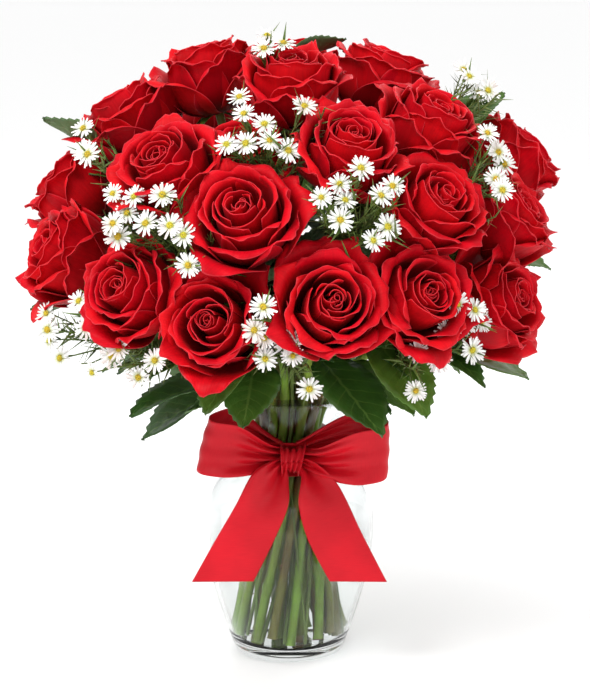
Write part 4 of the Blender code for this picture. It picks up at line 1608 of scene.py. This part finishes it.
def vase_outline():
    """The outer side from the foot to the rim, as (radius, height) points."""
    foot = Vector((BASE_RADIUS, BASE_ROUNDING))
    belly = Vector((BELLY_RADIUS, BELLY_HEIGHT))
    neck = Vector((NECK_RADIUS, NECK_HEIGHT))
    rim = Vector((RIM_RADIUS, VASE_HEIGHT))
    lower = BELLY_HEIGHT - BASE_ROUNDING
    upper = NECK_HEIGHT - BELLY_HEIGHT
    flare = VASE_HEIGHT - NECK_HEIGHT
    into_side = foot + Vector((0.45 * (BELLY_RADIUS - BASE_RADIUS), 0.28 * lower))
    under_belly = belly - Vector((0, 0.36 * lower))
    over_belly = belly + Vector((0, 0.80 * upper))
    under_neck = neck - Vector((0, 0.34 * upper))
    over_neck = neck + Vector((0, 0.20 * flare))
    into_rim = neck + Vector((0.55 * (RIM_RADIUS - NECK_RADIUS), 0.30 * flare))
    underside = Vector((BASE_RADIUS - BASE_ROUNDING, 0))
    rounding = Vector((BASE_RADIUS - 0.3 * BASE_ROUNDING, 0.3 * BASE_ROUNDING))
    points = [underside, rounding]
    points += interpolate_bezier(foot, into_side, under_belly, belly, 16)[:-1]
    points += interpolate_bezier(belly, over_belly, under_neck, neck, 20)[:-1]
    points += interpolate_bezier(neck, over_neck, into_rim, rim, 14)
    return [Vector((point.x, point.y)) for point in points]


def moved_in(points, distance):
    """The outline moved towards the axis."""
    inner = []
    last = len(points) - 1
    for index, point in enumerate(points):
        run = (points[min(index + 1, last)] - points[max(index - 1, 0)]).normalized()
        inner.append(point + Vector((-run.y, run.x)) * distance)
    return inner


def radius_at(outline, height):
    for low, high in zip(outline, outline[1:]):
        if low.y <= height <= high.y:
            return low.x + (high.x - low.x) * (height - low.y) / (high.y - low.y)
    return outline[-1].x


print("outline of", len(vase_outline()), "points")

# %% [markdown]
# ## Turning the vase and the water
# A round body is its profile turned about the axis, here in ninety-six steps, so the
# highlights run clean. The rings are laid by hand in a mesh, because the glass and the water
# meet the axis at their middles, where a ring shrinks to a single point. The water is what the
# hollow holds up to its own height.
# %% Turn the vase and the water
GLASS_WALL = 0.0025
GLASS_FLOOR = 0.009
WATER_GAP = 0.0002  # between the water and the glass
TURN_STEPS = 96


def ring_at(shape, radius, height):
    """A ring of points, or the one point on the axis."""
    if radius < 1e-6:
        return [shape.verts.new((0, 0, height))]
    turns = [math.tau * index / TURN_STEPS for index in range(TURN_STEPS)]
    return [shape.verts.new((radius * math.cos(a), radius * math.sin(a), height)) for a in turns]


def turned(name, profile, materials):
    """Turns a profile of (radius, height) points about +Z into a closed body."""
    shape = bmesh.new()
    rings = [ring_at(shape, radius, height) for radius, height in profile]
    for low, high in zip(rings, rings[1:]):
        for index in range(TURN_STEPS):
            after = index + 1
            loop = [low[index % len(low)], low[after % len(low)]]
            loop += [high[after % len(high)], high[index % len(high)]]
            shape.faces.new([vert for place, vert in enumerate(loop) if vert not in loop[:place]])
    bmesh.ops.recalc_face_normals(shape, faces=shape.faces)
    return add_piece(name, shape, materials)


def inner_side(floor, distance):
    """The hollow from the edge of its floor to the rim, this far inside the outline."""
    side = [point for point in moved_in(vase_outline(), distance) if point.y > floor + 0.003]
    corner = side[0].x
    rounding = [(corner - 0.006, floor), (corner - 0.0022, floor + 0.0009)]
    return rounding + [(point.x, point.y) for point in side]


def add_vase():
    outer = [(point.x, point.y) for point in vase_outline()]
    inner = inner_side(GLASS_FLOOR, GLASS_WALL)
    lip = [((inner[-1][0] + outer[-1][0]) / 2, VASE_HEIGHT + 0.0006)]
    underside = [(BASE_RADIUS * 0.6, 0.0012), (0, 0.0022)]
    profile = [(0, GLASS_FLOOR)] + inner + lip + outer[::-1] + underside
    hand_over(turned("vase", profile, [CLEAR_GLASS]), "clear_glass", "glass_vase")


def add_water():
    floor = GLASS_FLOOR + WATER_GAP
    side = inner_side(floor, GLASS_WALL + WATER_GAP)
    side = [point for point in side if point[1] < WATER_HEIGHT - 0.001]
    edge = side[-1][0]
    top = [(edge, WATER_HEIGHT + 0.0006), (edge - 0.0016, WATER_HEIGHT), (0, WATER_HEIGHT)]
    hand_over(turned("water_body", [(0, floor)] + side + top, [WATER]), "water", "water")


add_vase()
add_water()
print("vase and water turned in", TURN_STEPS, "steps")

# %% [markdown]
# ## Ribbon finish
# The bow is red polyester satin with a fine crosswise rib. Its threads lie one way, so it
# shines in long soft bands that turn coral where the light grazes it, and goes deep red in the
# folds. The map on the ribbon is in metres, so the rib has its true half-millimetre pitch.
# %% Finish: satin ribbon
RIB_PITCH = 0.0005


def satin_finish():
    material, tree, shader = new_material("ribbon_satin", 0.38, 0.20)
    shader.inputs["Sheen Weight"].default_value = 0.06
    shader.inputs["Sheen Roughness"].default_value = 0.35
    shader.inputs["Sheen Tint"].default_value = (1.0, 0.45, 0.42, 1)
    shader.inputs["Anisotropic"].default_value = 0.5
    chart = step(tree, "ShaderNodeUVMap", uv_map="ribbon")
    along_ribbon = axes_of(tree, chart)[1]
    rib = sums(tree, "SINE", sums(tree, "MULTIPLY", along_ribbon, math.tau / RIB_PITCH))
    lines = place_group(tree, FIBRES, {"Vector": chart, "Across": 120.0, "Along": 2600.0})
    thread = lines["Streak"]
    patch = place_group(
        tree, MOTTLING, {"Vector": object_place(tree), "Scale": 30.0, "Depth": 0.16}
    )
    shine = sums(tree, "MULTIPLY", thread, 0.30)
    cloth = blend(tree, shine, (0.55, 0.004, 0.014, 1), (0.70, 0.012, 0.022, 1))
    tree.links.new(scaled(tree, cloth, patch["Tone"]), shader.inputs["Base Color"])
    give_relief(tree, shader, sums(tree, "MULTIPLY_ADD", rib, 0.5, thread), 0.16, 0.0002)
    return material


SATIN = satin_finish()
print("finish:", SATIN.name)

# %% [markdown]
# ## How a ribbon is laid
# The bow is one ribbon, 36 mm wide. It could be simulated as cloth, but a simulation would not
# hold a tied knot and two level-cut tails. So each run is a strip laid along a route: it has
# its full width where it is free and is pinched into pleats at the knot. The pleats are real
# folds, deep enough that the ribbon keeps its width round them, as cloth must. Its map is in
# metres along the ribbon and across it.
# %% Helpers for ribbon runs
RIBBON_WIDTH = 0.036
RIBBON_THICKNESS = 0.0004
RIBBON_COLUMNS = 22


def add_run(shape, chart, rows, start):
    """Joins rows into a strip, and maps it in metres. Each row is (run so far, points)."""
    lines = [[shape.verts.new(point) for point in points] for _, points in rows]

    def place_on_map(x, y):
        return (RIBBON_WIDTH * x / RIBBON_COLUMNS, start + rows[y][0])

    fill_grid(shape, lines, chart, place_on_map)
    return start + rows[-1][0]


def strip_rows(route, section, steps, phase, pleats=3):
    """Rows of points across a strip that follows a route and is pleated where it is pinched.

    At each share of the way, section gives the direction across the strip, its half width,
    the depth of its pleats and its bulge.
    """
    rows = []
    run = 0.0
    before = route(0.0)
    for index in range(steps + 1):
        share = index / steps
        middle = route(share)
        run += (middle - before).length
        before = middle
        side, half, pleat, bulge = section(share)
        side = side.normalized()
        ahead = route(min(share + 0.01, 1.0)) - route(max(share - 0.01, 0.0))
        out = ahead.cross(side).normalized()
        points = []
        for column in range(RIBBON_COLUMNS + 1):
            s = 2 * column / RIBBON_COLUMNS - 1
            fold = pleat * math.sin(math.pi * pleats * s + phase + 1.1 * share)
            points.append(middle + side * half * s + out * (fold + bulge * (1 - s * s)))
        rows.append((run, points))
    return rows


def smooth_route(points):
    """A curve through the points, as a function of the share of the way along."""
    points = [Vector(point) for point in points]
    last = len(points) - 1
    fine = []
    for index in range(last):
        start, end = points[index], points[index + 1]
        leaving = start + (end - points[max(index - 1, 0)]) / 6
        arriving = end - (points[min(index + 2, last)] - start) / 6
        fine += interpolate_bezier(start, leaving, arriving, end, 13)[:-1]
    fine.append(points[-1])
    return lambda share: along(fine, share)


def ease(share, low, high):
    """0 below low, 1 above high, and smooth between."""
    value = min(max((share - low) / (high - low), 0.0), 1.0)
    return value * value * (3 - 2 * value)


print("a ribbon", round(RIBBON_WIDTH * 1000), "mm wide has", RIBBON_COLUMNS, "faces across")

# %% [markdown]
# ## The band and the loops
# The ribbon first goes round the neck, scrunched to two thirds of its width, with creases that
# run round. Then it makes a loop to each side: from the knot forwards and out, round the
# loop's end, and back behind itself. A loop stands open at its top, because the ribbon is
# stiff enough to hold its round, so its rows stay nearly upright all the way.
# %% Rows of the band and the loops
BAND_CLEARANCE = 0.0012
BAND_HALF = 0.0105
BAND_STEPS = 96
LOOP_STEPS = 48
# Each loop's middle line, from the knot round its outer end and back.
LOOPS = {
    "left": [
        (-0.004, -0.0370, 0.1500),
        (-0.018, -0.0520, 0.1540),
        (-0.036, -0.0590, 0.1590),
        (-0.0545, -0.0560, 0.1610),
        (-0.0570, -0.0440, 0.1630),
        (-0.040, -0.0360, 0.1660),
        (-0.020, -0.0330, 0.1600),
        (-0.004, -0.0320, 0.1530),
    ],
    "right": [
        (0.006, -0.0370, 0.1500),
        (0.022, -0.0530, 0.1500),
        (0.044, -0.0600, 0.1540),
        (0.0640, -0.0570, 0.1570),
        (0.0660, -0.0450, 0.1600),
        (0.046, -0.0370, 0.1640),
        (0.022, -0.0335, 0.1590),
        (0.005, -0.0320, 0.1530),
    ],
}
# How far each loop leans out, how far its middle bulges, and where its pleats start.
LOOP_SHAPES = {"left": (0.24, 0.0050, 0.6), "right": (0.02, -0.0050, 2.0)}


def band_rows():
    """The run round the neck, scrunched to two thirds of its width."""
    outline = vase_outline()
    rows = []
    for index in range(BAND_STEPS + 1):
        turn = math.tau * index / BAND_STEPS
        out = direction(math.degrees(turn), 0)
        points = []
        for column in range(RIBBON_COLUMNS + 1):
            s = 2 * column / RIBBON_COLUMNS - 1
            height = NECK_HEIGHT + BAND_HALF * s + 0.0012 * math.sin(2 * turn + 2 * s)
            crease = 0.0011 * (1 + math.sin(math.pi * 3 * s + 1.5 * math.sin(turn * 2)))
            radius = radius_at(outline, height) + BAND_CLEARANCE + crease
            points.append(out * radius + UP * height)
        rows.append((turn * NECK_RADIUS, points))
    return rows


def loop_rows(hand):
    """A loop: pinched at both ends, where it enters the knot, and free between."""
    lean, bulge, phase = LOOP_SHAPES[hand]

    def section(share):
        free = ease(min(share, 1 - share), 0.02, 0.34)
        side = Vector((lean * free, 0, 1))
        half = 0.0065 + (RIBBON_WIDTH / 2 - 0.0055) * free
        pleat = 0.0036 * (1 - free) ** 0.7 + 0.0003
        return side, half, pleat, bulge * math.sin(math.tau * share)

    return strip_rows(smooth_route(LOOPS[hand]), section, LOOP_STEPS, phase)


print("loops", [round(length_of([Vector(p) for p in LOOPS[hand]]), 3) for hand in LOOPS], "m")

# %% [markdown]
# ## The tails and the wrap
# The tails leave the knot under the loops, hang over the vase's shoulder and are cut level.
# Each is laid between its two edges, since it widens and turns as it falls. A last short wrap
# goes over the pinched runs and back behind them, and is what holds a real bow together.
# %% Rows of the tails and the wrap
TAIL_STEPS = 48
WRAP_STEPS = 40
KNOT_CENTRE = Vector((0.0020, -0.0395, 0.1485))
# Each tail's two edges from the knot down to the level cut, the outer one first.
TAILS = {
    "left": (
        [
            (-0.006, -0.0400, 0.1500),
            (-0.023, -0.0520, 0.1440),
            (-0.0366, -0.0600, 0.1210),
            (-0.0520, -0.0650, 0.0950),
            (-0.0660, -0.0680, 0.0700),
        ],
        [
            (-0.001, -0.0420, 0.1450),
            (0.0000, -0.0500, 0.1350),
            (-0.0006, -0.0580, 0.1200),
            (-0.0110, -0.0640, 0.0960),
            (-0.0240, -0.0670, 0.0700),
        ],
    ),
    "right": (
        [
            (0.009, -0.0400, 0.1500),
            (0.0190, -0.0480, 0.1480),
            (0.0340, -0.0570, 0.1350),
            (0.0500, -0.0640, 0.1030),
            (0.0670, -0.0680, 0.0700),
        ],
        [
            (0.005, -0.0420, 0.1450),
            (0.0085, -0.0490, 0.1380),
            (0.0068, -0.0580, 0.1220),
            (0.0130, -0.0640, 0.0990),
            (0.0280, -0.0670, 0.0700),
        ],
    ),
}
TAIL_PHASES = {"left": 0.4, "right": 1.9}
OUT_OF_TAIL = Vector((0, -1, 0.25))  # the way in which a tail's folds stand out


def tail_rows(hand):
    """Rows across a tail. Deep folds start at the knot, and one long soft fold runs on down."""
    outer, inner = (smooth_route(edge) for edge in TAILS[hand])
    phase = TAIL_PHASES[hand]
    rows = []
    run = 0.0
    before = outer(0.0).lerp(inner(0.0), 0.5)
    for index in range(TAIL_STEPS + 1):
        share = index / TAIL_STEPS
        first, second = outer(share), inner(share)
        middle = first.lerp(second, 0.5)
        run += (middle - before).length
        before = middle
        pinch = 1 - ease(share, 0.0, 0.42)
        rise = math.sin(math.pi * min(1.0, 1.6 * share + 0.05))
        points = []
        for column in range(RIBBON_COLUMNS + 1):
            s = column / RIBBON_COLUMNS
            tight = 0.0034 * pinch**0.8 * math.sin(math.tau * 2.5 * s + phase + 1.2 * share)
            long = 0.0060 * rise * math.sin(math.pi * (1.7 * s + 0.6 * share) + phase)
            belly = 0.0030 * math.sin(math.pi * s) * math.sin(math.pi * share)
            points.append(first.lerp(second, s) + OUT_OF_TAIL * (tight + long + belly))
        rows.append((run, points))
    return rows


def wrap_rows():
    """The short wrap that holds the bow, pulled up tight over the pinched runs."""

    def route(share):
        turn = math.tau * (share - 0.5)
        forward = 0.0085 * math.cos(turn) - 0.0010
        return KNOT_CENTRE + Vector((0.0012 * math.sin(turn), forward, 0.0102 * math.sin(turn)))

    def section(share):
        half = 0.0072 + 0.0016 * math.sin(math.tau * (share - 0.5))
        pleat = 0.0013 + 0.0004 * math.sin(math.tau * share * 2)
        return Vector((1, 0, 0.08)), half, pleat, -0.0030

    return strip_rows(route, section, WRAP_STEPS, 0.9, pleats=4)


print("tails hang down to", [round(edges[0][-1][2], 3) for edges in TAILS.values()], "m")

# %% [markdown]
# ## The bow
# All the runs go into one mesh in the order in which the ribbon passes through them, and the
# map goes on from each run to the next, so its last value is the length of ribbon that was
# used. That length and the width are the ribbon's flat size.
# %% Make the bow


def add_ribbon():
    shape = bmesh.new()
    chart = shape.loops.layers.uv.new("ribbon")
    runs = [band_rows(), loop_rows("left"), loop_rows("right")]
    runs += [tail_rows("left"), tail_rows("right"), wrap_rows()]
    length = 0.0
    for rows in runs:
        length = add_run(shape, chart, rows, length)
    ribbon = add_piece("ribbon", shape, [SATIN])
    finish_wall(ribbon, RIBBON_THICKNESS)
    hand_over(ribbon, "ribbon_satin", "ribbon_bow")
    return length


print("ribbon", round(add_ribbon(), 3), "m long")

# %% [markdown]
# ## The floor
# The bouquet stands on a plain pale floor, wide enough that its edge is never seen. It is part
# of the studio and not of the bouquet.
# %% Floor
FLOOR_RADIUS = 9.0
FLOOR_COLOUR = (0.96, 0.96, 0.96, 1)

stage = bmesh.new()
bmesh.ops.create_circle(stage, cap_ends=True, segments=96, radius=FLOOR_RADIUS)
floor_material, _, floor_shader = new_material("studio_floor", 0.6)
floor_shader.inputs["Base Color"].default_value = FLOOR_COLOUR
floor = add_piece("floor", stage, [floor_material])
